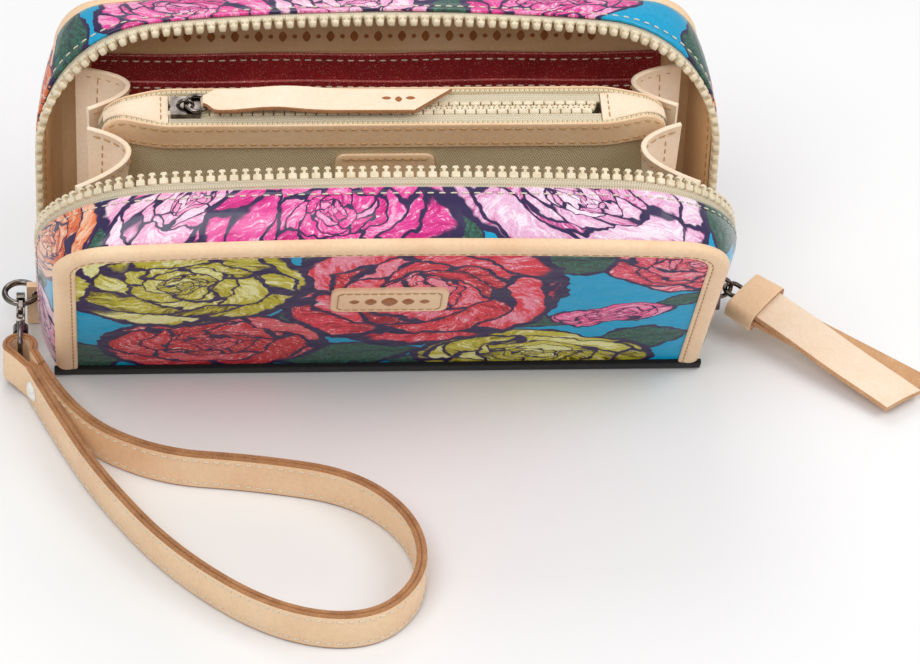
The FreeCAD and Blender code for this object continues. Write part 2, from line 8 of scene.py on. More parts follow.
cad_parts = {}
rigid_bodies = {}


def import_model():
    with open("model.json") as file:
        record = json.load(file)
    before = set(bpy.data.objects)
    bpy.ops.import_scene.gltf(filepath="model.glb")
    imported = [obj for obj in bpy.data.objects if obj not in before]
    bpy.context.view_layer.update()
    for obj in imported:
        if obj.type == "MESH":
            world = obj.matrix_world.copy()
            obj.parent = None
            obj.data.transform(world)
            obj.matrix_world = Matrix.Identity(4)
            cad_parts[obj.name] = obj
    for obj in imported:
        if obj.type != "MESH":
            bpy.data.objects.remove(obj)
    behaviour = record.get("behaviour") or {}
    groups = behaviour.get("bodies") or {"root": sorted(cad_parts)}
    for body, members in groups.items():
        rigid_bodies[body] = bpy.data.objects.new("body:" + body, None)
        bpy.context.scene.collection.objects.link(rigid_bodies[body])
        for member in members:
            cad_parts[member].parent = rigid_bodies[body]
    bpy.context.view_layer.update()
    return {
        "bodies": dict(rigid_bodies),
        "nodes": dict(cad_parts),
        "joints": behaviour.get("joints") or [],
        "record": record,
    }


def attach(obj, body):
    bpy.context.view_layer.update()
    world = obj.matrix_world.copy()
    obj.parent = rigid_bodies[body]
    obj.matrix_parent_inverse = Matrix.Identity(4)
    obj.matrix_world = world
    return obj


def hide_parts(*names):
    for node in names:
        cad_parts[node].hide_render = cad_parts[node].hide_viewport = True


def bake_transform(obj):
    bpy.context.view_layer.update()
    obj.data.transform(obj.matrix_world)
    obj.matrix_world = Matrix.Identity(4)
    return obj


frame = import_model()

# A zip-around wristlet wallet of coated floral cloth and natural leather, standing open on its spine.
# Lengths in the dictionaries are millimetres; makePiece turns them into metres.

scene = bpy.context.scene


cameraView = {"place": (-83.27, -1061.81, 936.1), "turn": 5.942, "dip": 41.434, "roll": 3.347, "lens": 176.05}


def makeCamera():
    # looks along the turn and dip angles, then rolls about its own line of sight
    turn, dip, roll = (math.radians(cameraView[k]) for k in ("turn", "dip", "roll"))
    ahead = Vector((math.sin(turn) * math.cos(dip), math.cos(turn) * math.cos(dip), -math.sin(dip)))
    right = Vector((math.cos(turn), -math.sin(turn), 0))
    up = right.cross(ahead)
    side = right * math.cos(roll) + up * math.sin(roll)
    top = up * math.cos(roll) - right * math.sin(roll)
    data = bpy.data.cameras.new("camera")
    data.lens = cameraView["lens"]
    data.sensor_width = 36
    data.clip_start, data.clip_end = 0.05, 20
    camera = bpy.data.objects.new("camera", data)
    camera.matrix_world = Matrix((side, top, -ahead)).transposed().to_4x4()
    camera.location = Vector(cameraView["place"]) * 0.001
    scene.collection.objects.link(camera)
    scene.camera = camera


makeCamera()
print("camera set")


def gridFaces(rows, columns, closedRows=False):
    # one quad between neighbouring rows and columns; columns wrap round, and rows do where they are closed
    r = np.arange(rows if closedRows else rows - 1)
    c = np.arange(columns)
    a, b = np.meshgrid(r, c, indexing="ij")
    nextA, nextB = (a + 1) % rows, (b + 1) % columns
    return np.stack([a * columns + b, nextA * columns + b, nextA * columns + nextB, a * columns + nextB],
                    -1).reshape(-1, 4)


def makePiece(name, body, points, faces, materials, stands=None, cornerUv=None, paint=None, sharp=40):
    # points in millimetres and faces become one welded mesh with its faces turned outwards;
    # a piece stands for the CAD node of its own name, unless it says more
    materials = materials if isinstance(materials, list) else [materials]
    if name in frame["nodes"]:
        stands, name = stands or [name], name + "_finished"
    mesh = bpy.data.meshes.new(name)
    mesh.from_pydata((np.asarray(points, float).reshape(-1, 3) * 0.001).tolist(), [], faces)
    if cornerUv is not None:
        layer = mesh.uv_layers.new(name="UVMap")
        layer.data.foreach_set("uv", np.asarray(cornerUv, np.float32).ravel())
    for material in materials:
        mesh.materials.append(material)
    if paint is not None:
        mesh.polygons.foreach_set("material_index", np.asarray(paint, np.int32))
    work = bmesh.new()
    work.from_mesh(mesh)
    bmesh.ops.remove_doubles(work, verts=work.verts, dist=2e-6)
    bmesh.ops.recalc_face_normals(work, faces=work.faces)
    work.to_mesh(mesh)
    work.free()
    mesh.polygons.foreach_set("use_smooth", np.ones(len(mesh.polygons), bool))
    mesh.set_sharp_from_angle(angle=math.radians(sharp))
    piece = bpy.data.objects.new(name, mesh)
    scene.collection.objects.link(piece)
    if body:
        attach(piece, body)
    if stands:
        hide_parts(*stands)
    return piece


def runLength(path):
    # running length along a polyline
    steps = np.linalg.norm(np.diff(path, axis=0), axis=1)
    return np.concatenate([[0], np.cumsum(steps)])


def xyz(*parts):
    # numbers and arrays that fit together, stacked as the last axis
    return np.stack(np.broadcast_arrays(*parts), -1)


def sampled(path, run, spots):
    # the path's columns read at places along its running length
    return np.stack([np.interp(spots, run, column) for column in path.T], -1)


def profilePiece(name, body, rings, materials, stands=None, edge=(), closed=False, along=None,
                 around=None, flatUv=None, sharp=40):
    # a closed profile carried along a path: rings is path steps by profile points by three; the two ends are
    # capped with one face each; profile segments listed in edge take the second material
    rings = np.asarray(rings, float)
    n, m = rings.shape[:2]
    quads = gridFaces(n, m, closed)
    faces = quads.tolist()
    if not closed:
        faces += [list(range(m))[::-1], list(range((n - 1) * m, n * m))]
    if flatUv is not None:  # a place on the flat cloth for each point
        flat = np.asarray(flatUv, float).reshape(-1, 2)
        cornerUv = flat[np.concatenate([quads.ravel(), *[np.array(f) for f in faces[len(quads):]]])] * 0.01
    else:
        middle = rings.mean(axis=1)
        u = runLength(np.vstack([middle, middle[:1]]) if closed else middle) if along is None else along
        section = rings[n // 2]
        v = runLength(np.vstack([section, section[:1]])) if around is None else around
        r, c = n if closed else n - 1, m
        a, b = np.meshgrid(np.arange(r), np.arange(c), indexing="ij")
        cornerUv = np.stack([xyz(u[a + i], v[b + j]) for i, j in ((0, 0), (1, 0), (1, 1), (0, 1))], 2)
        cornerUv = cornerUv.reshape(-1, 2) * 0.01
        if not closed:
            caps = np.concatenate([xyz(u[0], v[:-1])[::-1], xyz(u[-1], v[:-1])]) * 0.01
            cornerUv = np.vstack([cornerUv, caps])
    paint = np.zeros(len(faces), int)
    if len(edge):
        paint[:len(quads)] = np.isin(np.arange(len(quads)) % m, list(edge))
        if not closed:
            paint[len(quads):] = 1
    return makePiece(name, body, rings, faces, materials, stands, cornerUv, paint, sharp)


def rimSegments(face):
    # profile segments that don't join two points of one face; face is 0 for a point that is on none
    return np.flatnonzero((face == 0) | (face != np.roll(face, -1)))


def roundedSection(width, height, radius, steps=5, sideSteps=1):
    # a rectangle with quarter-circle corners, starting at the lower right and going anticlockwise
    turn = np.linspace(0, math.pi / 2, steps)
    x, y = width / 2 - radius, height / 2 - radius
    corners = [(x, -y, -math.pi / 2), (x, y, 0), (-x, y, math.pi / 2), (-x, -y, math.pi)]
    arcs = [xyz(cx + radius * np.cos(start + turn), cy + radius * np.sin(start + turn)) for cx, cy, start in corners]
    if sideSteps == 1:
        return np.concatenate(arcs)
    share = np.linspace(0, 1, sideSteps + 1)[1:-1, None]
    return np.concatenate([np.vstack([arcs[i], arcs[i][-1] + (arcs[(i + 1) % 4][0] - arcs[i][-1]) * share])
                           for i in range(4)])


def scatter(points, faces, frames, origins):
    # one small shape repeated: each copy is turned by its frame and moved to its origin
    count = len(points)
    placed = np.einsum("nij,kj->nki", frames, points) + origins[:, None, :]
    moved = []
    for face in faces:
        moved += (np.array(face)[None, :] + (np.arange(len(origins)) * count)[:, None]).tolist()
    return placed.reshape(-1, 3), moved


def framesAlong(tangents, normals):
    # columns: along the path, across it, and out of the surface
    t = tangents / np.linalg.norm(tangents, axis=1)[:, None]
    b = np.cross(normals, t)
    b /= np.linalg.norm(b, axis=1)[:, None]
    return xyz(t, b, np.cross(t, b))


def smoothStep(x):
    x = np.clip(x, 0, 1)
    return x * x * (3 - 2 * x)


class Wire:
    # the output of a node; a sum, difference or product of wires puts one Math node behind them
    def __init__(self, socket):
        self.socket = socket

    def __add__(self, other):
        return calc("ADD", self, other)

    def __sub__(self, other):
        return calc("SUBTRACT", self, other)

    def __mul__(self, other):
        return calc("MULTIPLY", self, other)


paintDesk = {"tree": None}  # the node tree of the material that is being made


def hexColour(code):
    # screen colour to linear colour
    parts = [int(code[i:i + 2], 16) / 255 for i in (0, 2, 4)]
    return tuple(p / 12.92 if p <= 0.04045 else ((p + 0.055) / 1.055) ** 2.4 for p in parts) + (1.0,)


def feed(socket, value):
    # a wire is linked, a colour code becomes a colour, and anything else is the socket's value
    if isinstance(value, Wire):
        paintDesk["tree"].links.new(value.socket, socket)
    else:
        socket.default_value = hexColour(value) if isinstance(value, str) else value


def newNode(kind, inputs=None, **settings):
    node = paintDesk["tree"].nodes.new("ShaderNode" + kind)
    for key, value in settings.items():
        setattr(node, key, value)
    for key, value in (inputs or {}).items():
        feed(node.inputs[key], value)
    return node


def wire(kind, inputs=None, output=0, **settings):
    return Wire(newNode(kind, inputs, **settings).outputs[output])


def split(vector, kind="SeparateXYZ"):
    return [Wire(part) for part in newNode(kind, {0: vector}).outputs]


def calc(operation, a, b=0.0):
    return wire("Math", {0: a, 1: b}, operation=operation)


def vectorCalc(operation, a, b=(0, 0, 0)):
    return wire("VectorMath", {0: a, 1: b}, "Value" if operation == "LENGTH" else "Vector", operation=operation)


def blendColours(share, a, b, how="MIX"):
    return wire("Mix", {0: share, 6: a, 7: b}, 2, data_type="RGBA", blend_type=how)


def blendVectors(share, a, b):
    return wire("Mix", {0: share, 4: a, 5: b}, 1, data_type="VECTOR")


def blendValues(share, a, b):
    return wire("Mix", {0: share, 2: a, 3: b}, data_type="FLOAT")


def noise(vector, scale, detail=3.0, rough=0.55, output=0):
    return wire("TexNoise", {"Vector": vector, "Scale": scale, "Detail": detail, "Roughness": rough}, output)


def cells(vector, scale, output, randomness=1.0, feature="F1"):
    return wire("TexVoronoi", {"Vector": vector, "Scale": scale, "Randomness": randomness}, output, feature=feature)


def ease(value, low, high, toLow=0.0, toHigh=1.0):
    return wire("MapRange", {0: value, 1: low, 2: high, 3: toLow, 4: toHigh}, interpolation_type="SMOOTHSTEP")


def ramp(value, stops):
    node = newNode("ValToRGB", {0: value})
    points = node.color_ramp.elements
    while len(points) < len(stops):
        points.new(0.5)
    for point, (place, colour) in zip(points, stops):
        point.position = place
        point.color = hexColour(colour) if isinstance(colour, str) else colour
    return Wire(node.outputs[0])


def openMaterial(name, roughness, metallic=0.0, coat=0.0, coatRoughness=0.1, sheen=0.0, specular=0.5):
    # a new material, whose tree is now the one that nodes are added to
    material = bpy.data.materials.new(name)
    material.use_nodes = True
    paintDesk["tree"] = material.node_tree
    shader = material.node_tree.nodes["Principled BSDF"]
    for key, value in {"Roughness": roughness, "Metallic": metallic, "Coat Weight": coat,
                       "Coat Roughness": coatRoughness, "Sheen Weight": sheen, "Sheen Roughness": 0.5,
                       "Specular IOR Level": specular}.items():
        shader.inputs[key].default_value = value
    return material, shader


def dress(shader, colour, height, strength, distance, **others):
    # links the colour, the bump that a height makes, and any other inputs
    bump = wire("Bump", {"Height": height, "Strength": strength, "Distance": distance})
    for key, value in {"Base Color": colour, "Normal": bump, **others}.items():
        feed(shader.inputs[key], value)


def objectPlace():
    return wire("TexCoord", output="Object")


def clothPlace():
    return wire("UVMap")


def leatherFinish(name, colour, dark, pale, roughness=0.48):
    # natural leather: cloudy tone, fine pores and shallow creases
    material, shader = openMaterial(name, roughness, coat=0.06, coatRoughness=0.35)
    where = objectPlace()
    cloud = noise(where, 45, 4)
    tone = ramp(cloud, [(0.2, dark), (0.5, colour), (0.85, pale)])
    speck = ramp(noise(where, 900, 3), [(0.3, (0.94, 0.92, 0.89, 1)), (0.6, (1.02, 1.02, 1.02, 1))])
    height = cells(where, 1300.0, "Distance") * 0.5 + noise(where, 260, 5)
    dress(shader, blendColours(0.8, tone, speck, "MULTIPLY"), height, 0.22, 0.0004,
          Roughness=ease(cloud, 0.2, 0.8, roughness - 0.07, roughness + 0.1))
    return material


def suedeFinish(name, colour, dark):
    # raw edge or flesh side: short loose fibres over a mottled brown
    material, shader = openMaterial(name, 0.9, sheen=0.15)
    where = objectPlace()
    fibre = noise(where, 1500, 4, 0.7)
    dress(shader, ramp(fibre * 0.6 + noise(where, 180, 4) * 0.4, [(0.32, dark), (0.62, colour)]), fibre, 0.5, 0.0005)
    return material


def clothFinish(name, colour, dark, pitch=0.75, lean=0.5, roughness=0.85, onPiece=True):
    # twill: fine diagonal ribs crossed by threads, over a slightly cloudy ground; pitch in millimetres
    material, shader = openMaterial(name, roughness, sheen=0.1)
    where = clothPlace() if onPiece else objectPlace()
    x, y, z = split(where)
    first, second = x + y * lean, x * lean - y
    if not onPiece:
        first, second = first + z * 0.6, second + z
    turns = (100.0 if onPiece else 1000.0) / pitch * 2 * math.pi
    weave = (calc("MAXIMUM", calc("SINE", first * turns), calc("SINE", second * turns)) + 1.0) * 0.5
    cloud = noise(where, 3 if onPiece else 30, 4)
    dress(shader, ramp(weave * 0.62 + cloud * 0.4, [(0.25, dark), (0.8, colour)]), weave, 0.5, 0.0004)
    return material


def plasticFinish(name, colour, dark):
    # moulded zip plastic: smooth, slightly waxy, with faint mottling
    material, shader = openMaterial(name, 0.34)
    where = objectPlace()
    shader.inputs["Subsurface Weight"].default_value = 0.08
    shader.inputs["Subsurface Scale"].default_value = 0.001
    dress(shader, ramp(noise(where, 400, 3), [(0.3, dark), (0.6, colour)]), noise(where, 1600, 2), 0.08, 0.0003)
    return material


def metalFinish(name, colour, dark, roughness):
    # polished plated metal with cloudy tarnish and hairline wear
    material, shader = openMaterial(name, roughness, metallic=1.0)
    where = objectPlace()
    patch = noise(where, 220, 4)
    dress(shader, ramp(patch, [(0.3, dark), (0.62, colour)]), patch, 0.06, 0.0006,
          Roughness=ease(noise(where, 2200, 3), 0.3, 0.75, roughness * 0.7, roughness * 1.7))
    return material


def glitterFinish(name, colour, deep, paintedGlint):
    # vinyl full of tiny flakes: each cell is a flake, and a few are painted pale as glints that catch the light,
    # besides being made partly metallic
    material, shader = openMaterial(name, 0.3, coat=0.7, coatRoughness=0.12)
    where = objectPlace()
    chance = split(cells(where, 4200.0, "Color"), "SeparateColor")[0]
    tone = ramp(chance, [(0.0, deep), (0.55, colour), (0.9, colour), (0.96, paintedGlint), (1.0, (0.95, 0.7, 0.66, 1))])
    shade = ramp(noise(where, 60, 3), [(0.3, (0.72, 0.7, 0.7, 1)), (0.7, (1.1, 1.1, 1.1, 1))])
    dress(shader, blendColours(1.0, tone, shade, "MULTIPLY"), chance, 0.25, 0.0003,
          Metallic=ease(chance, 0.8, 0.95, 0.0, 0.7))
    return material


def threadFinish(name, colour, holeShade):
    # sewing thread: twisted strand in the middle, and painted shade of the needle holes at its two ends
    material, shader = openMaterial(name, 0.6, sheen=0.2)
    along, turn = split(clothPlace())[:2]
    end = calc("ABSOLUTE", along - 0.5)
    twist = calc("SINE", along * 30.0 + turn * 6.28)
    shade = tuple(c * 0.72 for c in hexColour(colour)[:3]) + (1,)
    strand = ramp(ease(twist, -1, 1), [(0.0, shade), (0.7, colour)])
    dress(shader, blendColours(ease(end, 0.36, 0.46), strand, holeShade), twist, 0.3, 0.0002)
    return material


def tapeFinish(name, colour, dark):
    # woven zip tape: fine herringbone chevrons along the run, cloth place u along and v across
    material, shader = openMaterial(name, 0.8, sheen=0.15)
    along, across = split(clothPlace())[:2]
    zigzag = calc("PINGPONG", across * 100.0, 0.9)
    ribs = calc("SINE", (along * 100.0 + zigzag) * (2 * math.pi / 0.8))
    rows = calc("SINE", across * (100 * 2 * math.pi / 0.9))
    weave = ribs * 0.35 + rows * 0.15
    dress(shader, ramp(weave + 0.5, [(0.1, dark), (0.75, colour)]), weave, 0.5, 0.0004)
    return material


def ellipsePlace(place, x, y, wide, tall, turn):
    # coordinates in which a turned ellipse, given in millimetres, is the unit circle
    return wire("Mapping", {"Vector": place, "Location": (x / 100, y / 100, 0), "Scale": (wide / 100, tall / 100, 1),
                            "Rotation": (0, 0, math.radians(turn))}, vector_type="TEXTURE")


# the fold ink is near black: the cloth turning under at the panels' foot, and also painted shadow there
printInk = {"outline": "31224F", "leafOutline": "322650", "vein": "2A2A40", "fleck": "F4EEF2", "fold": "0B0A0E",
            "ground": [(0.3, "0078A6"), (0.42, "009DCB"), (0.6, "06A6D2"), (0.72, "54CBE4")],
            "leaf": [(0.36, "2B3F36"), (0.5, "3C5C4A"), (0.62, "2F7C74"), (0.74, "8FA24A")],
            "weave": [(0.35, (0.6, 0.6, 0.62, 1)), (0.6, (1.1, 1.1, 1.1, 1))]}


def flowerPrint(name, flowers, leaves, foot=0.0):
    # Painted roses on a turquoise ground. Their places are millimetres on the flat cloth, whose own coordinates
    # are tenths of a metre.
    # Each flower is an ellipse; inside it the log of the distance and the direction from its heart
    # are cut into cells, which gives petals that grow outwards, with dark outlines between them.
    material, shader = openMaterial(name, 0.3, coat=0.06 if foot else 0.3, coatRoughness=0.06,
                                    specular=0.1 if foot else 0.35)
    flat = clothPlace()
    shift = vectorCalc("SUBTRACT", noise(flat, 7, 3, 0.55, 1), (0.5, 0.5, 0.5))
    place = vectorCalc("ADD", flat, vectorCalc("MULTIPLY", shift, (0.13, 0.13, 0.0)))
    brush = noise(vectorCalc("MULTIPLY", place, (1.0, 2.2, 1.0)), 26, 5, 0.7)
    fineBrush = noise(place, 95, 4, 0.75)
    ground = ramp(brush * 0.5 + fineBrush * 0.5, printInk["ground"])

    leafPlace, leafShape = (5.0, 5.0, 0.0), 9.0  # far from every leaf
    for leaf in leaves:
        spot = ellipsePlace(place, *leaf)
        x, y = split(spot)[:2]
        shape = calc("ABSOLUTE", y) + x * x
        inside = calc("LESS_THAN", shape, 1.0)
        leafPlace = blendVectors(inside, leafPlace, spot)
        leafShape = blendValues(inside, leafShape, shape)
    x, y = split(leafPlace)[:2]
    aside = calc("ABSOLUTE", y)
    vein = calc("PINGPONG", x + aside * 0.7, 0.16)
    veinLine = calc("MAXIMUM", ease(vein, 0.0, 0.035, 1, 0), ease(aside, 0.02, 0.09, 1, 0))
    leafTone = blendColours(veinLine * 0.6, ramp(fineBrush, printInk["leaf"]), printInk["vein"])
    leafTone = blendColours(ease(leafShape, 0.78, 0.88), leafTone, printInk["leafOutline"])
    cloth = blendColours(calc("LESS_THAN", leafShape, 1.0), ground, leafTone)

    heart, seed, tones = (3.0, 3.0, 0.0), 0.0, ["000000"] * 3
    for number, (*ellipse, inks) in enumerate(flowers):
        spot = ellipsePlace(place, *ellipse)
        inside = calc("LESS_THAN", vectorCalc("LENGTH", spot), 1.0)
        heart = blendVectors(inside, heart, spot)
        seed = blendValues(inside, seed, 1.7 * number + 0.6)
        tones = [blendColours(inside, tone, ink) for tone, ink in zip(tones, inks)]
    dark, mid, pale = tones
    away = vectorCalc("LENGTH", heart)
    depth = calc("LOGARITHM", away + 0.06, math.e)
    spin = wire("VectorRotate", {"Vector": heart, "Angle": depth * 0.9}, rotation_type="Z_AXIS")
    around = vectorCalc("MULTIPLY", vectorCalc("NORMALIZE", spin), (0.62, 0.62, 0.0))
    petalPlace = vectorCalc("ADD", around, wire("CombineXYZ", {2: depth * 1.75 + seed * 3.1}))
    gap = cells(petalPlace, 1.5, "Distance", 0.85, "DISTANCE_TO_EDGE")
    petalChance = split(cells(petalPlace, 1.5, "Color", 0.85), "SeparateColor")[0]
    streak = noise(vectorCalc("MULTIPLY", petalPlace, (11.0, 11.0, 2.0)), 1.6, 5, 0.7)
    tone = petalChance * 0.22 + (streak * 0.75 + gap * 0.35)
    flower = blendColours(ease(tone, 0.38, 0.5), dark, mid)
    flower = blendColours(ease(tone, 0.53, 0.65), flower, pale)
    fleck = ease(fineBrush * (streak + 0.35), 0.5, 0.56)
    flower = blendColours(fleck * 0.75, flower, printInk["fleck"])
    line = calc("MAXIMUM", ease(gap, 0.04, 0.068, 1, 0), ease(away, 0.91, 0.94))
    flower = blendColours(line, flower, printInk["outline"])
    cloth = blendColours(calc("LESS_THAN", away, 1.0), cloth, flower)
    weave = noise(flat, 160, 2)
    cloth = blendColours(0.35, cloth, ramp(weave, printInk["weave"]), "MULTIPLY")
    # a near black band at the foot: the cloth turning under, and painted shadow where the panel meets the floor
    if foot:  # the cloth turns under into a black fold
        cloth = blendColours(calc("LESS_THAN", split(flat)[1], foot / 100), cloth, printInk["fold"])
    dress(shader, cloth, noise(flat, 9, 2) * 3.0 + weave * 0.12, 0.25, 0.0012)
    return material


naturalLeather = leatherFinish("natural leather", "F1CEA7", "EABF98", "F6DABA")
paleLeather = leatherFinish("pale leather", "F5DDC2", "EFD0AF", "F8E6D2", 0.45)
# a darker copy of the natural leather for the strip linings, the back lining and the inner band: painted shade inside
# the wallet
shadedLeather = leatherFinish("inside leather with painted shade", "E0BA8C", "D6AC7C", "E8C7A0", 0.55)
rawEdge = suedeFinish("raw leather edge", "C48D5E", "8C5A34")
suedeSide = suedeFinish("suede side", "DDAE80", "B98356")
stampBrown = suedeFinish("stamped brown", "B4713A", "8A4E22")
twill = clothFinish("lining twill", "E4D4B2", "A8936C")
paleLining = clothFinish("pale lining", "CDBB98", "A08C68", 0.6)
zipTape = tapeFinish("zip tape", "E6DAC0", "BBAC8E")
zipPlastic = plasticFinish("zip plastic", "EADCC0", "D8C7A6")
nickel = metalFinish("dark nickel", "8E8680", "4C433E", 0.15)
vinyl = glitterFinish("glitter vinyl", "A92B2F", "7C181C", "E49088")
# a paler copy of the glitter vinyl for the slips' rolled tops: painted highlight where they catch the light
vinylFoldHighlight = glitterFinish("glitter vinyl fold with painted highlight", "C65A56", "9C2C2C", "F6BAB2")
enamel = plasticFinish("white enamel", "F4F3F0", "E2E0DC")
# near black cloth for the foot folds and the spine: partly the cloth's colour, partly painted shadow under the wallet
blackClothAndShadow = clothFinish("black fold and painted shadow", "0E0D10", "050506", 0.6, 0.5, 0.95, False)
# the third colour of each thread is the painted shade of its needle holes
creamThread = threadFinish("cream thread", "EFE3CC", "5A4630")
tanThread = threadFinish("tan thread", "C99A62", "4A2E18")

roseTones = {"yellow": ("5E5012", "C4B928", "ECEBA4"), "red": ("8C1622", "CE3038", "E2606A"),
             "coral": ("9A1430", "E6364A", "F58CA4"), "pinkRed": ("B02444", "E84E66", "F6A2B6"),
             "bud": ("C8286C", "EC5A96", "F5A0C2"), "hot": ("C81878", "E9459C", "F6A2CC"),
             "blush": ("C7488F", "EBB4D6", "F8E4F0"), "orange": ("C2481E", "EC7A46", "F9C4A0"),
             "lightPink": ("E0529A", "F2A4CC", "FADCEA")}


def painted(rows):
    return [row[:-1] + (roseTones[row[-1]],) for row in rows]


# x, height, half width, half height, turn, tones
frontRoses = painted([(-52, 26, 35, 25, 5, "red"), (10, 66, 44, 44, -8, "coral"), (-62, 74, 38, 34, 4, "yellow"),
                      (90, 86, 27, 22, -10, "pinkRed"), (68, 46, 19, 7.5, 16, "bud"),
                      (47, 13, 38, 20, -3, "yellow")])
frontLeaves = [(58, 90, 20, 11, 5), (40, 44, 16, 9, -25), (-12, 14, 26, 11, 10), (78, 27, 17, 10, 20),
               (-92, 12, 16, 12, 30), (-24, 44, 9, 12, 60), (92, 58, 16, 5, 20), (16, 6, 16, 7, -10),
               (-17, 95, 12, 6, 30)]
# distance along the strip from its middle, distance from the zip, and the same four
frontStripRoses = painted([(-168, 12, 26, 16, 0, "lightPink"), (-109, 13, 25, 20, 10, "orange"),
                           (-62, 9, 24, 19, 0, "lightPink"), (-18, 13, 36, 24, -5, "hot"),
                           (56, 9, 40, 21, 4, "blush"), (150, 12, 24, 14, 0, "pinkRed")])
frontStripLeaves = [(-82, 17, 12, 8, 30), (101, 12, 15, 9, 80), (112, 8, 12, 6, 70), (17, 20, 10, 6, 80),
                    (-140, 8, 16, 8, 40), (180, 14, 20, 9, 10)]
backRoses = painted([(50, 70, 42, 32, 6, "coral"), (-52, 62, 38, 38, -8, "hot"), (8, 22, 36, 22, 3, "yellow"),
                     (-88, 16, 28, 20, 0, "red"), (88, 18, 26, 22, 12, "blush")])
backLeaves = [(0, 88, 20, 9, 10), (-30, 14, 15, 9, 30), (50, 30, 18, 9, -15), (90, 60, 15, 9, 60),
              (-94, 88, 15, 9, 60)]
backStripRoses = painted([(-118, 12, 14, 14, 0, "orange"), (-60, 12, 27, 15, 0, "hot"),
                          (-8, 12, 27, 15, 5, "lightPink"), (50, 13, 27, 14, 0, "hot"),
                          (128, 12, 20, 16, 0, "orange"), (-156, 12, 24, 16, 0, "blush"),
                          (164, 12, 20, 15, 0, "blush")])
backStripLeaves = [(-97, 12, 11, 9, 60), (-34, 8, 9, 6, 20), (20, 8, 9, 6, -20), (104, 12, 11, 9, -60),
                   (146, 8, 10, 7, 30)]

prints = {"front_panel": flowerPrint("front print", frontRoses, frontLeaves, 5.6),
          "front_gusset_strip": flowerPrint("front strip print", frontStripRoses, frontStripLeaves),
          "back_panel": flowerPrint("back print", backRoses, backLeaves, 5.6),
          "back_gusset_strip": flowerPrint("back strip print", backStripRoses, backStripLeaves)}
print("materials made")


stitch = {"length": 2.3, "width": 0.5, "rise": 0.22}
stitchRows = {}


def stitchShape():
    # a spindle: rings of six points whose radius is the root of one minus the square of the place along it
    place = np.array([-1, -0.8, -0.35, 0.35, 0.8, 1.0])
    size = np.sqrt(np.clip(1.06 - place ** 2, 0, 1))
    turn = np.linspace(0, 2 * math.pi, 6, endpoint=False)
    x = np.repeat(place[:, None], 6, 1) * stitch["length"] / 2
    y = size[:, None] * np.cos(turn) * stitch["width"] / 2
    z = size[:, None] * np.sin(turn) * stitch["width"] / 2 + (size[:, None] - 0.72) * stitch["rise"]
    faces = gridFaces(6, 6).tolist() + [[5, 4, 3, 2, 1, 0], list(range(30, 36))]
    uv = xyz(np.repeat((place[:, None] + 1) / 2, 6, 1), np.repeat(turn[None] / 6.3, 6, 0)).reshape(-1, 2)
    return xyz(x, y, z).reshape(-1, 3), faces, uv


def stitchRow(group, path, normals, pitch, ends=1.0):
    # threads at even steps along a path, each lying along it and half sunk in the surface
    run = runLength(path)
    free = run[-1] - 2 * ends
    count = max(1, int(free / pitch))
    spots = ends + free * (np.arange(count) + 0.5) / count
    ahead = sampled(path, run, spots + 0.8) - sampled(path, run, spots - 0.8)
    facing = sampled(np.broadcast_to(normals, path.shape), run, spots)
    stitchRows.setdefault(group, []).append((sampled(path, run, spots), framesAlong(ahead, facing)))


def threadPiece(name, body, rows, material):
    # one stitch copied to every origin and frame of the rows
    points, faces, uv = stitchShape()
    origins, frames = (np.concatenate(part) for part in zip(*rows))
    placed, copied = scatter(points, faces, frames, origins)
    order = np.concatenate([np.ravel(f) for f in copied])
    return makePiece(name, body, placed, copied, material, cornerUv=uv[order % len(points)])


def sewAll():
    # every row of one body and thread becomes one piece
    for (body, thread), rows in stitchRows.items():
        threadPiece("stitches_" + thread + "_" + body, body, rows, {"cream": creamThread, "tan": tanThread}[thread])


coverShape = {"half": 100.0, "height": 103.0, "corner": 19.0, "arch": 6.0, "flare": 6.0, "rise": 2.3,
              "rimCorner": 44.0, "rimArch": 8.5, "panelInner": 21.3, "rimFromZip": 4.2, "halfDepth": 23.3,
              "lean": {"front": 27.75, "back": 8.2}, "teethStart": 19.0, "toothPitch": 3.4}


def openCover(points, side):
    # a cover is drawn closed and upright, then turned about its foot by its lean; the back one is also mirrored
    lean = math.radians(coverShape["lean"][side])
    half = coverShape["halfDepth"]
    x, y, z = points[..., 0], points[..., 1] + half, points[..., 2]
    outY = -half + y * math.cos(lean) - z * math.sin(lean)
    return xyz(x, outY if side == "front" else -outY, z * math.cos(lean) + y * math.sin(lean))


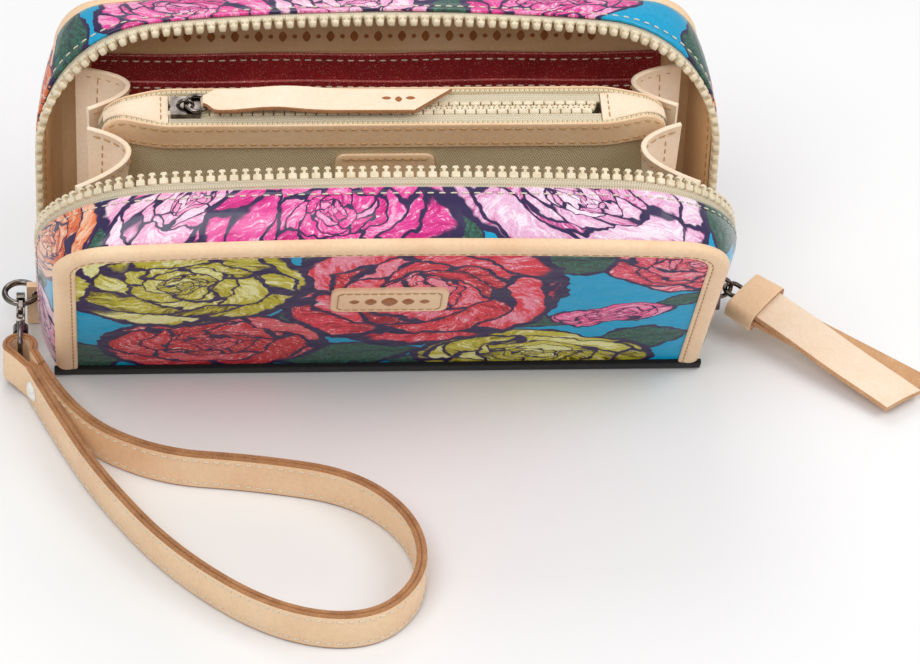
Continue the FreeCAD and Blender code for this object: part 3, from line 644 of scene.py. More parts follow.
def coverOutline(depth, inset, bottom=1.5, steps=(12, 14, 46)):
    # up the left side, round a corner arc, over one wide arc and down the right side;
    # width, height, corner and arch grow linearly with the flare, which is 0 at the panel and 1 at the rim
    depth, inset, bottom = np.broadcast_arrays(*(np.atleast_1d(np.asarray(v, float)) for v in (depth, inset, bottom)))
    s = coverShape
    flare = (s["panelInner"] - depth) / (s["panelInner"] - s["rimFromZip"])
    half, top = s["half"] + s["flare"] * flare, s["height"] + s["rise"] * flare
    corner = s["corner"] + (s["rimCorner"] - s["corner"]) * flare
    arch = s["arch"] + (s["rimArch"] - s["arch"]) * flare
    wide = (half ** 2 + arch ** 2) / (2 * arch)
    centre = top - wide
    cornerX = half - corner
    cornerZ = centre + np.sqrt((wide - corner) ** 2 - cornerX ** 2)
    angle = np.arctan2(cornerZ - centre, cornerX)
    up = np.linspace(0, 1, steps[0])[:, None]
    turn = angle * np.linspace(0, 1, steps[1])[1:, None]
    over = angle + (math.pi / 2 - angle) * np.linspace(0, 1, steps[2])[1:, None]
    x = np.concatenate([-(half - inset) + 0 * up, -(cornerX + (corner - inset) * np.cos(turn)),
                        -(wide - inset) * np.cos(over)])
    z = np.concatenate([bottom + (cornerZ - bottom) * up, cornerZ + (corner - inset) * np.sin(turn),
                        centre + (wide - inset) * np.sin(over)])
    left = xyz(x, np.broadcast_to(-depth, x.shape), z)
    right = left[::-1][1:] * (-1, 1, 1)
    return np.concatenate([left, right])


def fromMiddle(rings):
    # running length along the middle of a band, measured from the top of the arch
    run = runLength(rings.mean(axis=1))
    return run - run[-1] / 2


def coverBand(name, side, section, bottom, material, depthUv=False, swell=0.0):
    # a band that follows the cover's outline; its section is a loop of (distance from the zip plane, inset)
    section = np.array(section, float)
    rings = coverOutline(section[:, 0], section[:, 1], bottom)
    along = fromMiddle(rings)
    if swell:  # a soft hand-made wobble along the run
        wobble = swell * (np.sin(along * 0.11 + 0.6) + 0.6 * np.sin(along * 0.23 + 2.0))
        rings[..., 2] += wobble[:, None] * (rings[..., 2] > 40)
    around = np.append(section[:, 0], section[0, 0]) if depthUv else None
    profilePiece(name, side + "_cover", openCover(rings, side), material, along=along, around=around,
                 sharp=50)


def sewCover(side, thread, path, way, pitch, ends=1.0):
    # stitches on a cover: they face out of or into its panel, or out of or into its strip across the outline
    if way in ("out", "in"):
        raw = np.array([0.0, -1.0 if way == "out" else 1.0, 0.0])
    else:
        tangent = np.gradient(path, axis=0)
        raw = xyz(-tangent[:, 2], 0.0, tangent[:, 0])
        raw = raw / np.linalg.norm(raw, axis=1)[:, None]
    facing = (openCover(path + raw, side) - openCover(path, side)) * (-1 if way == "strip inside" else 1)
    stitchRow((side + "_cover", thread), openCover(path, side), facing, pitch, ends)


def layeredPlate(name, body, outline, middle, levels, place, materials, flatUv=False):
    # a flat plate as stacked copies of its outline, each shrunk towards its middle by a share and set at a level
    rings = np.array([outline + (middle - outline) * share for share, _ in levels])
    depth = np.array([level for _, level in levels])[:, None] * np.ones(rings.shape[:2])
    solid = xyz(rings[..., 0], depth, rings[..., 1])
    profilePiece(name, body, place(solid), materials, flatUv=rings if flatUv else None, sharp=50)


bindingShape = {"stitchInset": 4.35, "stitchLevel": 24.5, "bottom": 1.5,
                "section": [(21.3, 1.0), (21.3, 0.1), (22.1, -0.22), (23.2, -0.3), (24.1, 0.0), (24.6, 0.75),
                            (24.8, 1.8), (24.8, 3.0), (24.65, 3.9), (24.42, 4.35), (24.62, 4.8), (24.5, 5.4),
                            (24.1, 5.85), (23.3, 5.85), (23.3, 1.0)]}
stripShape = {"stitchDepth": 7.9, "bottom": 1.5,
              "section": [(21.3, 0.2), (20.6, -0.15), (18.5, -0.5), (15.5, -0.72), (12.0, -0.72), (10.0, -0.5),
                          (8.6, -0.15), (7.9, 0.06), (7.2, -0.08), (6.4, -0.05), (5.95, 0.2), (5.85, 0.6), (6.0, 1.0),
                          (7.5, 1.25), (12.0, 1.2), (21.3, 1.35)]}
tapeShape = {"bottom": 12.2,
             "section": [(10.0, 1.4), (6.0, 1.38), (4.9, 1.3), (4.5, 1.05), (4.1, 1.3), (3.7, 1.3), (3.35, 1.05),
                         (3.0, 1.05), (2.7, 1.35), (2.65, 1.7), (2.7, 2.05), (3.0, 2.3), (3.35, 2.28), (3.7, 2.04),
                         (6.0, 2.02), (10.0, 2.0)]}
toothShape = {"base": -3.0, "root": 1.95, "width": 2.6, "neck": 0.95, "head": 2.15, "thick": 2.4, "headThick": 2.0}


def makeTooth(shape):
    # outline of a tooth seen from the side, (reach, along), stacked in four levels with the rims drawn in
    b, r = shape["base"], shape["base"] + shape["root"]
    w, n, h = shape["width"] / 2, shape["neck"] / 2, shape["head"] / 2
    tip = shape.get("tip", 1.0)
    half = [(b, w * 0.9), (b + 0.25, w), (r - 0.3, w), (r, w * 0.9), (r + 0.08, n), (tip - 0.92, n), (tip - 0.78, h),
            (tip - 0.55, h * 0.95), (tip, h * 0.62)]
    outline = np.array([(x, -y) for x, y in half] + half[::-1])
    middle = np.array([(b + tip) / 2, 0])
    levels = [(-0.5, 0.86), (-0.36, 1.0), (0.36, 1.0), (0.5, 0.86)]
    thick = np.where(outline[:, 0] > r, shape["headThick"], shape["thick"])
    rings = np.array([xyz(level * thick, *(middle + (outline - middle) * size).T) for level, size in levels])
    m = len(outline)
    caps = [[first + i, first + i + 1, first + m - 2 - i, first + m - 1 - i] for first in (0, 3 * m)
            for i in range(len(half) - 1)]
    faces = gridFaces(4, m).tolist() + caps
    return rings.reshape(-1, 3), faces  # columns: across the tape, reach past the zip plane, along the run


def makeTeeth(name, side, shift):
    # teeth at even steps along the outline from the lowest left to the lowest right
    path = coverOutline(coverShape["rimFromZip"], 1.7, coverShape["teethStart"])[:, 0]
    path[:, 1] = 0
    run = runLength(path)
    pitch = coverShape["toothPitch"]
    count = int((run[-1] - pitch / 2) / pitch)
    spots = (run[-1] - (count - 0.5) * pitch) / 2 + (np.arange(count) + shift) * pitch
    at = sampled(path, run, spots)
    ahead = sampled(path, run, spots + 0.5) - sampled(path, run, spots - 0.5)
    ahead /= np.linalg.norm(ahead, axis=1)[:, None]
    reach = np.broadcast_to(np.array([0.0, 1.0, 0.0]), ahead.shape)
    frames = xyz(np.cross(reach, ahead), reach, ahead)
    points, faces = makeTooth(toothShape)
    placed, copied = scatter(points, faces, frames, at)
    makePiece(name, side + "_cover", openCover(placed, side), copied, zipPlastic, sharp=50)


def closedOutline(depth, inset, foot):
    # the cover's outline closed along its foot, as (x, z)
    ring = coverOutline(depth, inset, foot, (16, 12, 34))[:, 0][:, [0, 2]]
    base = np.linspace(ring[-1], ring[0], 44)[1:-1]
    return np.concatenate([ring, base])


plateShape = {"pull": 0.62, "centre": 50.0,
              "panel": [(0.86, -21.3), (0.5, -21.3), (0.004, -21.3), (0.0, -21.55), (0.0, -22.9), (0.006, -23.2),
                        (0.02, -23.32), (0.06, -23.42), (0.12, -23.6), (0.2, -23.76), (0.34, -23.88), (0.55, -23.95),
                        (0.86, -24.0)],
              "lining": [(0.86, -21.28), (0.0, -21.28), (0.0, -20.85), (0.01, -20.75), (0.05, -20.7), (0.3, -20.6),
                         (0.86, -20.6)]}
linerShape = {"bottom": 2.4, "stitchDepth": 6.6, "stitchInset": 2.74,
              "section": [(20.6, 2.25), (12, 2.2), (5.4, 2.2), (5.2, 2.45), (5.4, 2.7), (12, 2.7), (20.6, 2.7)]}
foldShape = {"half": 100.4, "section": [(-23.5, 1.0), (-24.6, 1.0), (-25.0, 1.4), (-25.05, 4.6), (-24.8, 5.3),
                                        (-24.2, 5.6), (-23.5, 5.5)]}


def coverPlate(part, side, inset, foot, material):
    # a plate inside the cover's outline, its layers drawn together towards a short line at half height
    ring = closedOutline(coverShape["panelInner"], inset, foot)
    middle = xyz(ring[:, 0] * plateShape["pull"], plateShape["centre"])
    layeredPlate(side + "_" + part, side + "_cover", ring, middle, plateShape[part],
                 lambda points: openCover(points, side), material, flatUv=True)


def makeCover(side, shift):
    coverPlate("panel", side, 1.0, 0.0, prints[side + "_panel"])
    coverBand(side + "_binding", side, bindingShape["section"], bindingShape["bottom"], naturalLeather)
    path = coverOutline(bindingShape["stitchLevel"], bindingShape["stitchInset"], 3.0)[:, 0]
    sewCover(side, "tan", path, "out", 3.0)

    name = side + "_gusset_strip"
    coverBand(name, side, stripShape["section"], stripShape["bottom"], prints[name], depthUv=True, swell=0.12)
    path = coverOutline(stripShape["stitchDepth"], -0.12, 3.0)[:, 0]
    sewCover(side, "cream", path, "strip", 3.4)

    coverBand(side + "_zip_tape", side, tapeShape["section"], tapeShape["bottom"], zipTape)
    coverBand(side + "_strip_lining", side, linerShape["section"], linerShape["bottom"], shadedLeather)
    path = coverOutline(linerShape["stitchDepth"], linerShape["stitchInset"], 4.0)[:, 0]
    sewCover(side, "tan", path, "strip inside", 3.2)
    makeTeeth(side + "_zip_teeth", side, shift)

    # the black cloth fold along the foot lies over the panel and the binding's ends; its black is also painted shadow
    # under the foot
    x = np.linspace(-foldShape["half"], foldShape["half"], 60)[:, None]
    rings = xyz(x, *np.array(foldShape["section"]).T)
    profilePiece(side + "_foot_fold", side + "_cover", openCover(rings, side), blackClothAndShadow)
    coverPlate("lining", side, 1.6, 2.4, shadedLeather if side == "back" else paleLining)


makeCover("front", 0.0)
makeCover("back", 0.5)
print("covers made")


labelShape = {"length": 35.0, "height": 17.0, "radius": 3.0, "level": 62.0, "face": -23.95, "thick": 1.3}


def lozenges(spots, sizes, thick):
    # thin raised lozenges: a lens outline of twelve points in two levels
    turn = np.linspace(0, 2 * math.pi, 12, endpoint=False)
    x = np.sign(np.cos(turn)) * np.abs(np.cos(turn)) ** 1.3
    z = np.sign(np.sin(turn)) * np.abs(np.sin(turn)) ** 1.3
    points, faces = [], []
    for (cx, cz), (w, h) in zip(spots, sizes):
        base = len(points) * 12
        for level, shrink in ((0.0, 1.0), (thick, 0.94)):
            points.append(xyz(cx + x * w * shrink, np.full(12, -level), cz + z * h * shrink))
        faces += (gridFaces(2, 12) + base).tolist() + [(np.arange(12)[::-1] + base).tolist(),
                                                       (np.arange(12, 24) + base).tolist()]
    return np.concatenate(points), faces


def makeLabel():
    s = labelShape
    ring = roundedSection(s["length"], s["height"], s["radius"], 7, 6)
    middle = xyz(ring[:, 0] * 0.5, 0)
    lift = np.array([0.0, s["face"], s["level"]])
    levels = [(0.9, 0.05), (0.0, 0.05), (0.0, -s["thick"] + 0.35), (0.015, -s["thick"] + 0.1), (0.05, -s["thick"]),
              (0.14, -s["thick"] - 0.02), (0.2, -s["thick"] + 0.12), (0.27, -s["thick"] - 0.02), (0.9, -s["thick"])]
    place = lambda points: openCover(points + lift, "front")
    layeredPlate("front_label", "front_cover", ring, middle, levels, place, naturalLeather)
    row = roundedSection(s["length"] - 4.2, s["height"] - 4.2, 2.0, 7, 6)
    row = np.vstack([row, row[:1]])
    sewCover("front", "tan", xyz(row[:, 0], -s["thick"] + 0.02, row[:, 1]) + lift, "out", 2.4, 0)
    spots = [(x, 0) for x in (-10.5, -5.6, 0, 5.6, 10.5)]
    sizes = [(1.6, 1.6), (1.9, 2.6), (2.6, 3.6), (1.9, 2.6), (1.6, 1.6)]
    points, faces = lozenges(spots, sizes, 0.1)
    makePiece("label_stamp", "front_cover", place(points + (0, -s["thick"] + 0.01, 0)), faces, stampBrown)


slipShape = {"tops": (81.6, 72.6, 63.6), "foot": 4.0, "start": 20.6, "thick": 0.8, "step": 1.0, "inset": 3.3,
             "widest": 88.0, "bandFoot": 82.4, "bandTop": 96.5, "bandFace": 19.78, "bandSeam": 94.6,
             "stampLevel": 87.6, "stampReach": 66.0, "stamps": 37}


def coverHalfWidth(z, inset):
    ring = coverOutline(21.3, inset, 0.0, (16, 12, 60))[:, 0]
    left = ring[:len(ring) // 2 + 1]
    return np.interp(z, left[:, 2], -left[:, 0])


def slipPiece(name, foot, top, near, materials, roll, edge=(), bow=0.25):
    # a card slip: a thin upright slab with a rolled top, as wide at every height as the cover's inside allows
    thick = slipShape["thick"]
    turn = np.linspace(0, math.pi, 7)
    crown = xyz(top - roll + roll * np.sin(turn), -near + thick / 2 + roll * np.cos(turn))
    front = xyz(np.linspace(foot, top - roll * 2.4, 9), np.full(9, -near + thick))
    back = xyz(np.linspace(top - roll * 2.4, foot, 9), np.full(9, -near))
    section = np.concatenate([front, crown, back])
    u = np.linspace(-1, 1, 61)
    half = np.minimum(coverHalfWidth(section[:, 0], slipShape["inset"]), slipShape["widest"])
    u, level = u[:, None], section[:, 0]
    x = u * half
    y = section[:, 1] + bow * (1 - u ** 2) * smoothStep((level - foot) / (top - foot))
    z = level - 0.25 * np.sin(u * 9 + near) * smoothStep((level - top + 9) / 9)
    profilePiece(name, "back_cover", openCover(xyz(x, y, z), "back"), materials, edge=edge, flatUv=xyz(x, z))
    return xyz(x[:, 8], y[:, 8], z[:, 8])


def makeSlips():
    s = slipShape
    for number, top in enumerate(s["tops"]):
        near = s["start"] - number * s["step"]
        row = slipPiece("card_slip_%d" % (number + 1), s["foot"], top, near, [vinyl, vinylFoldHighlight], 0.55, range(9, 15))
        sewCover("back", "cream", row + (0, 0.03, -1.0), "in", 3.3, 2)
    slipPiece("inner_band", s["bandFoot"], s["bandTop"], s["start"], shadedLeather, 0.42, bow=0.0)
    half = coverHalfWidth(s["bandSeam"], 8.0)
    sewCover("back", "tan", xyz(np.linspace(-half, half, 60), -s["bandFace"], s["bandSeam"]), "in", 3.2, 0)
    spots = [(x, s["stampLevel"]) for x in np.linspace(-s["stampReach"], s["stampReach"], s["stamps"])]
    sizes = [(0.8, 0.8) if i % 2 else (1.3, 1.9) for i in range(s["stamps"])]
    points, faces = lozenges(spots, sizes, 0.08)
    points[:, 1] = -s["bandFace"] - points[:, 1]
    makePiece("band_stamp", "back_cover", openCover(points, "back"), faces, stampBrown)


makeLabel()
makeSlips()
print("label and slips made")


pocketShape = {"half": 86.0, "height": 92.0, "halfTop": 7.5, "halfFoot": 4.0, "corner": 9.0, "lean": 5.0,
               "bandHeight": 9.0, "narrowFrom": 64.0, "narrowBy": 0.6}


def leanPocket(points):
    # the pocket is drawn upright and leans forward about the top of the spine
    lean = math.radians(pocketShape["lean"])
    x, y, z = points[..., 0], points[..., 1], points[..., 2] - 2
    return xyz(x, y * math.cos(lean) - z * math.sin(lean), 2 + y * math.sin(lean) + z * math.cos(lean))


def pocketTop(x):
    # the upper corners are quarter circles
    over = np.clip(np.abs(x) - (pocketShape["half"] - pocketShape["corner"]), 0, pocketShape["corner"])
    return pocketShape["height"] - pocketShape["corner"] + np.sqrt(pocketShape["corner"] ** 2 - over ** 2 + 1e-9)


def pocketHalf(x, z):
    # half thickness grows linearly with height and is pinched in at both ends
    grow = (z - 2) / (pocketShape["height"] - 2)
    pinch = 1 - pocketShape["narrowBy"] * smoothStep((np.abs(x) - pocketShape["narrowFrom"]) / 22) * grow
    return (pocketShape["halfFoot"] + (pocketShape["halfTop"] - pocketShape["halfFoot"]) * grow) * pinch


def pocketSwell(x, z):
    # a wall bulges by half a millimetre in its middle
    return 0.5 * np.sin(math.pi * np.clip((z - 4) / 86, 0, 1)) * (1 - (x / 86) ** 2)


def pocketSheet(name, side, low, high, inner, outer, material, fromTop=True, roll=0.3, half=86.0, levels=10,
                stands=None):
    # a sheet that follows one wall, between two heights and two distances from the wall's outer face
    share = np.linspace(0, 1, levels)
    turn = np.linspace(0, math.pi, 6)[1:-1]
    thick = outer - inner
    offset = np.concatenate([np.full(levels, outer), (inner + outer) / 2 + thick / 2 * np.cos(turn),
                             np.full(levels, inner)])
    climb = np.concatenate([share, 1 + 0 * turn, share[::-1]])
    extra = np.concatenate([0 * share, roll * np.sin(turn), 0 * share])
    x = np.linspace(-half, half, 91)
    drop = pocketShape["height"] - pocketTop(x)
    if fromTop:
        z = low + (high - low) * climb - drop[:, None] * (1 if low > 60 else climb) + extra
    else:
        over = np.clip(np.abs(x) - (half - 3), 0, 3)
        cut = (3 - np.sqrt(9 - over ** 2))[:, None]  # round corners
        z = low + cut + (high - low - 2 * cut) * climb + extra
    x = x[:, None]
    y = side * (pocketHalf(x, z) + offset + pocketSwell(x, z))
    profilePiece(name, "root", leanPocket(xyz(x, y, z)), material, stands=stands, flatUv=xyz(x, z))


def pocketRow(level, off):
    # a line of stitches along the front wall at a height below its top
    x = np.linspace(-84, 84, 90)
    z = level - (pocketShape["height"] - pocketTop(x))
    path = xyz(x, -(pocketHalf(x, z) + off + pocketSwell(x, z)), z)
    facing = leanPocket(path + (0, -1, 0.05)) - leanPocket(path)
    stitchRow(("root", "tan"), leanPocket(path), facing, 3.3)


def makePocket():
    top, band = pocketShape["height"], pocketShape["bandHeight"]
    for side, name in ((-1, "coin_pocket_front"), (1, "coin_pocket_back")):
        pocketSheet(name, side, 2.5, top - 0.3, -1.2, 0.0, twill, levels=16)
    pocketSheet("coin_pocket_band", -1, top - band, top, 0.04, 0.95, naturalLeather, roll=0.35)
    pocketSheet("coin_pocket_back_hem", 1, top - 5, top, 0.04, 0.7, naturalLeather, stands=["coin_pocket_back"])
    pocketSheet("pocket_plate", -1, 68.4, 79.4, 0.04, 1.05, naturalLeather, half=15.0, fromTop=False)
    pocketRow(top - 1.5, 0.98)
    pocketRow(top - band + 1.4, 0.98)
    x = np.linspace(-13, 13, 20)
    for level in (78.0, 69.8):  # the plate's two rows
        path = xyz(x, -(pocketHalf(x, level) + 1.55), level)
        stitchRow(("root", "tan"), leanPocket(path), np.array([0.0, -1.0, 0.1]), 2.6, 0)
    ring = roundedSection(170, 5.2, 1.0, 4, 8)
    profilePiece("pocket_base", "root", leanPocket(np.array([xyz(*ring.T, z) for z in (2.35, 3.4)])), twill)


coinZip = {"pitch": 3.2, "half": 65.0, "level": 90.6,
           "tooth": {"base": -2.7, "root": 1.75, "width": 2.9, "neck": 0.9, "head": 1.85, "thick": 2.2,
                     "headThick": 1.8, "tip": 0.85},
           "tape": [(2.6, -0.4), (3.1, -0.55), (3.6, -0.4), (6.15, -0.4), (6.15, 0.4), (3.6, 0.4), (3.1, 0.6),
                    (2.6, 0.4)], "tabFrom": 65.2, "tabTo": 84.6, "tabLevel": 90.95, "tabSeam": 67.4}


def makeCoinZip():
    s = coinZip
    points, faces = makeTooth(s["tooth"])
    count = int(2 * (s["half"] - 0.3) / s["pitch"])
    first = -count * s["pitch"] / 2 + s["pitch"] / 4
    allPoints, allFaces = [], []
    for side in (-1, 1):  # a tooth reaches from its tape towards and past the middle
        x = first + np.arange(count) * s["pitch"] + side * s["pitch"] / 4
        at = xyz(x, 0, s["level"])
        frame = np.array([[0, 0, 1], [0, -side, 0], [1, 0, 0]], float)
        placed, copied = scatter(points, faces, np.broadcast_to(frame, (count, 3, 3)), at)
        base = sum(len(p) for p in allPoints)
        allPoints.append(placed)
        allFaces += [[i + base for i in face] for face in copied]
    makePiece("coin_chain", "root", leanPocket(np.concatenate(allPoints)), allFaces, zipPlastic, sharp=50)
    x = np.linspace(-s["half"], s["half"], 70)[:, None]
    reach, height = np.array(s["tape"]).T
    for side, name in ((-1, "front"), (1, "back")):
        wave = 0.12 * np.sin(x * 0.17 + side) * smoothStep((reach - 3) / 2)
        rings = xyz(x, side * reach, s["level"] + height + wave)
        profilePiece("coin_tape_" + name, "root", leanPocket(rings), zipTape)
    section = roundedSection(2.0, 1.5, 0.6, 5, 5)
    for side, name in ((-1, "left"), (1, "right")):
        x = np.linspace(s["tabFrom"], s["tabTo"], 16)[:, None]
        half = pocketHalf(x, 91.0) - 1.25
        lift = s["tabLevel"] + 0.9 * smoothStep((x - 65) / 6) - (92 - pocketTop(x)) * 0.9
        rings = xyz(side * x, half * section[:, 0], lift + section[:, 1])
        profilePiece("coin_tab_" + name, "root", leanPocket(rings), paleLeather)
        path = xyz(side * s["tabSeam"], np.linspace(-5, 5, 8), s["tabLevel"] + 1.0)
        stitchRow(("root", "tan"), leanPocket(path), np.array([0.0, 0.0, 1.0]), 2.4, 0)


makePocket()
makeCoinZip()
print("coin pocket made")


bellowsShape = {"foot": 6.0, "topAtPocket": 87.0, "topAtCover": 84.0, "thick": 1.3, "seamSpots": (3, 25),
                "rimSeam": 1.8, "pitch": 3.3,
                "low": [(88.2, 2.6), (84.6, 9.0), (92.6, 13.5)],  # at the foot: x, distance from the pocket
                "high": {"front": [(89.2, -4.6), (77.2, -22.0), (92.8, -36.0)],
                         "back": [(89.2, 4.6), (77.2, 11.0), (92.8, 21.0)]},
                "blendStart": 0.0886, "blendEnd": 0.0927, "blendLevel": 0.05}


def throughMiddle(p, t):
    # the parabola that starts at the first point, passes the second half way and ends at the third
    pull = 2 * p[1] - (p[0] + p[2]) / 2
    return (1 - t) ** 2 * p[0] + 2 * t * (1 - t) * pull + t ** 2 * p[2]


def bellowsSeams(name, rows):
    # stitches on a bellows are a piece of their own, on no body
    placed = []
    for path, facing in rows:
        run = runLength(path)
        spots = np.arange(3.0, run[-1] - 3.0, bellowsShape["pitch"])
        ahead = sampled(np.gradient(path, axis=0), run, spots)
        out = sampled(np.broadcast_to(facing, path.shape), run, spots)
        placed.append((sampled(path, run, spots), framesAlong(ahead, out)))
    return threadPiece(name, None, placed, tanThread)


def makeHalfBellows(side, hand, where):
    # it runs from the pocket's end to the cover in one curved fold, drawn at foot and top and ruled between
    s = bellowsShape
    face = -1 if where == "front" else 1
    low, high = np.array(s["low"]) * (1, face), np.array(s["high"][where])
    high[0, 1] -= 84 * math.sin(math.radians(pocketShape["lean"]))  # the pocket leans forward
    t = np.linspace(0, 1, 30)[:, None]
    lowLine, highLine = throughMiddle(low, t), throughMiddle(high, t)
    top = s["topAtPocket"] + (s["topAtCover"] - s["topAtPocket"]) * t
    across = np.gradient(highLine, axis=0) @ np.array([[0, 1], [-1, 0]])
    across /= np.linalg.norm(across, axis=1)[:, None]
    share, turn, half = np.linspace(0, 1, 9), np.linspace(0, math.pi, 7)[1:-1], s["thick"] / 2
    climb = np.concatenate([share, 1 + 0 * turn, share[::-1]])
    offset = np.concatenate([np.full(9, half), 1.5 * half * np.cos(turn), np.full(9, -half)])
    extra = np.concatenate([0 * share, 1.3 * half * np.sin(turn), 0 * share])
    plan = lowLine[:, None] * (1 - climb)[:, None] + highLine[:, None] * climb[:, None]
    plan = (plan + across[:, None] * offset[:, None]) * (side, 1)
    z = s["foot"] + (top - s["foot"]) * climb + extra
    rings = xyz(plan[..., 0], plan[..., 1], z)
    out = np.hstack([across * (side, 1), 0 * t])
    rim = rings[:, 8] - (0, 0, s["rimSeam"])
    rows = []
    for spot in s["seamSpots"]:  # one row near the pocket and one near the cover, on both sides
        path = rings[spot, :9]
        rows += [(path, out[spot]), (path - 2 * half * out[spot], -out[spot])]
    rows += [(rim, out), (rim - 2 * half * out, -out)]
    ends = {"start": (side * s["blendStart"], 0.001 * high[0, 1], s["blendLevel"]),
            "end": (side * s["blendEnd"], 0.001 * high[2, 1], s["blendLevel"])}
    tail = where + "_" + hand
    leather = profilePiece("bellows_" + tail, None, rings, paleLeather)
    for piece in (leather, bellowsSeams("bellows_seams_" + tail, rows)):
        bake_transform(piece)


for side, hand in ((-1, "left"), (1, "right")):
    for where in ("front", "back"):
        makeHalfBellows(side, hand, where)
print("bellows made")


def polishNode(name, material, bevel):
    # joins the loose triangles, rounds the machined edges and gives the finish
    piece = frame["nodes"][name]
    weld = piece.modifiers.new("weld", "WELD")
    weld.merge_threshold = 0.00001
    if bevel:
        rounding = piece.modifiers.new("rounding", "BEVEL")
        rounding.width = bevel * 0.001
        rounding.segments = 2
        rounding.limit_method = "ANGLE"
        rounding.angle_limit = math.radians(40)
        rounding.harden_normals = False
    piece.data.materials.clear()
    piece.data.materials.append(material)


roundings = {"coin_slider": 0.25, "coin_pull_ring": 0, "zip_slider": 0.3, "pull_link": 0, "d_ring": 0,
             "clasp_hook": 0.25, "clasp_gate": 0.15, "gate_pin": 0, "clasp_eye": 0}
for name, bevel in roundings.items():
    polishNode(name, nickel, bevel)
polishNode("strap_rivet", enamel, 0)


def softCopy(name, material, width):
    # a leather tab: the cut shape with its edges rounded over
    source = frame["nodes"][name]
    mesh = source.data.copy()
    mesh.name = name + "_soft"
    mesh.materials.clear()
    mesh.materials.append(material)
    work = bmesh.new()
    work.from_mesh(mesh)
    bmesh.ops.remove_doubles(work, verts=work.verts, dist=1e-5)
    bmesh.ops.dissolve_limit(work, angle_limit=0.02, verts=work.verts, edges=work.edges)
    work.to_mesh(mesh)
    work.free()
    piece = bpy.data.objects.new(name + "_soft", mesh)
    scene.collection.objects.link(piece)
    rounding = piece.modifiers.new("rounding", "BEVEL")
    rounding.width, rounding.segments = width * 0.001, 3
    rounding.limit_method, rounding.angle_limit = "ANGLE", math.radians(35)
    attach(piece, "root")
    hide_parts(name)


softCopy("left_end_tab", naturalLeather, 0.5)
softCopy("right_end_tab", naturalLeather, 0.5)
# the spine is near black, which is also painted shadow under the wallet
softCopy("spine", blackClothAndShadow, 0.6)
print("hardware finished")


pullShape = {"pivot": (110.81, 1.027, 11.5), "yaw": -38.5, "drop": 7.6, "base": 7.8, "length": 63.0, "width": 14.5,
             "layer": 1.9, "fan": 5.0, "keeperAt": 5.5, "keeperLong": 10.0}


def placePull(points):
    # drawn along +X from the slider's bail, dipped to the floor, swung forward and moved to the bail
    drop, yaw = math.radians(pullShape["drop"]), math.radians(pullShape["yaw"])
    x = points[..., 0] * math.cos(drop) + points[..., 2] * math.sin(drop)
    z = -points[..., 0] * math.sin(drop) + points[..., 2] * math.cos(drop)
    y = points[..., 1]
    return xyz(x * math.cos(yaw) - y * math.sin(yaw) + pullShape["pivot"][0],
               x * math.sin(yaw) + y * math.cos(yaw) + pullShape["pivot"][1], z + pullShape["pivot"][2])


def makePull():
    s = pullShape
    section = roundedSection(s["width"], s["layer"], 0.4, 4, 11)
    for name, sign, swing in (("upper", 1, -s["fan"]), ("lower", -1, s["fan"])):
        t = np.linspace(0, 1, 40)
        wide = s["width"] / 2
        half = np.interp(t * s["length"], [0, 4, s["length"]], [1.3, wide, wide]) / wide
        y = half[:, None] * section[:, 0]
        x = s["base"] + t[:, None] * (s["length"] - 1.5 + 1.5 * y / wide)
        level = sign * (0.15 + s["layer"] / 2) + section[:, 1]
        level = level + (0.35 if sign > 0 else 0.0) * np.sin(t[:, None] * 5.0) ** 2
        level = level + 0.25 * np.cos(y * 0.35) * smoothStep(t[:, None] * 3)
        turn = math.radians(swing)
        pivot = s["base"] + 9
        rings = xyz(pivot + (x - pivot) * math.cos(turn) - y * math.sin(turn),
                    (x - pivot) * math.sin(turn) + y * math.cos(turn), level)
        edge = rimSegments(1 * (sign * section[:, 1] > s["layer"] / 2 - 0.1))
        profilePiece("pull_strip_" + name, "zip_pull", placePull(rings), [paleLeather, suedeSide], edge=edge)
    loop = roundedSection(19.6, 6.9, 2.4, 8, 5)
    loop[:, 1] += 0.25 * np.cos(loop[:, 0] * 0.3) * np.sign(loop[:, 1])
    outward = np.gradient(np.vstack([loop[-1:], loop, loop[:1]]), axis=0)[1:-1]
    outward = xyz(outward[:, 1], -outward[:, 0])
    outward /= np.linalg.norm(outward, axis=1)[:, None]
    wall = roundedSection(s["keeperLong"], 1.25, 0.4, 4, 3)
    slant = 1 + 0.05 * wall[:, 0] / s["keeperLong"]
    plan = loop[:, None] * slant[None, :, None] - outward[:, None] * (0.62 - wall[None, :, 1, None])
    rings = xyz(s["keeperAt"] + s["keeperLong"] / 2 + wall[:, 0], plan[..., 0], plan[..., 1])
    ends = np.abs(wall[:, 0]) > s["keeperLong"] / 2 - 0.1
    edge = np.flatnonzero(ends & np.roll(ends, -1))
    profilePiece("pull_keeper", "zip_pull", placePull(rings), [naturalLeather, rawEdge], edge=edge, closed=True)


coinPull = {"ringAt": -53.2, "level": 93.85, "length": 72.0, "width": 9.5, "thick": 1.6, "foldRadius": 1.35}


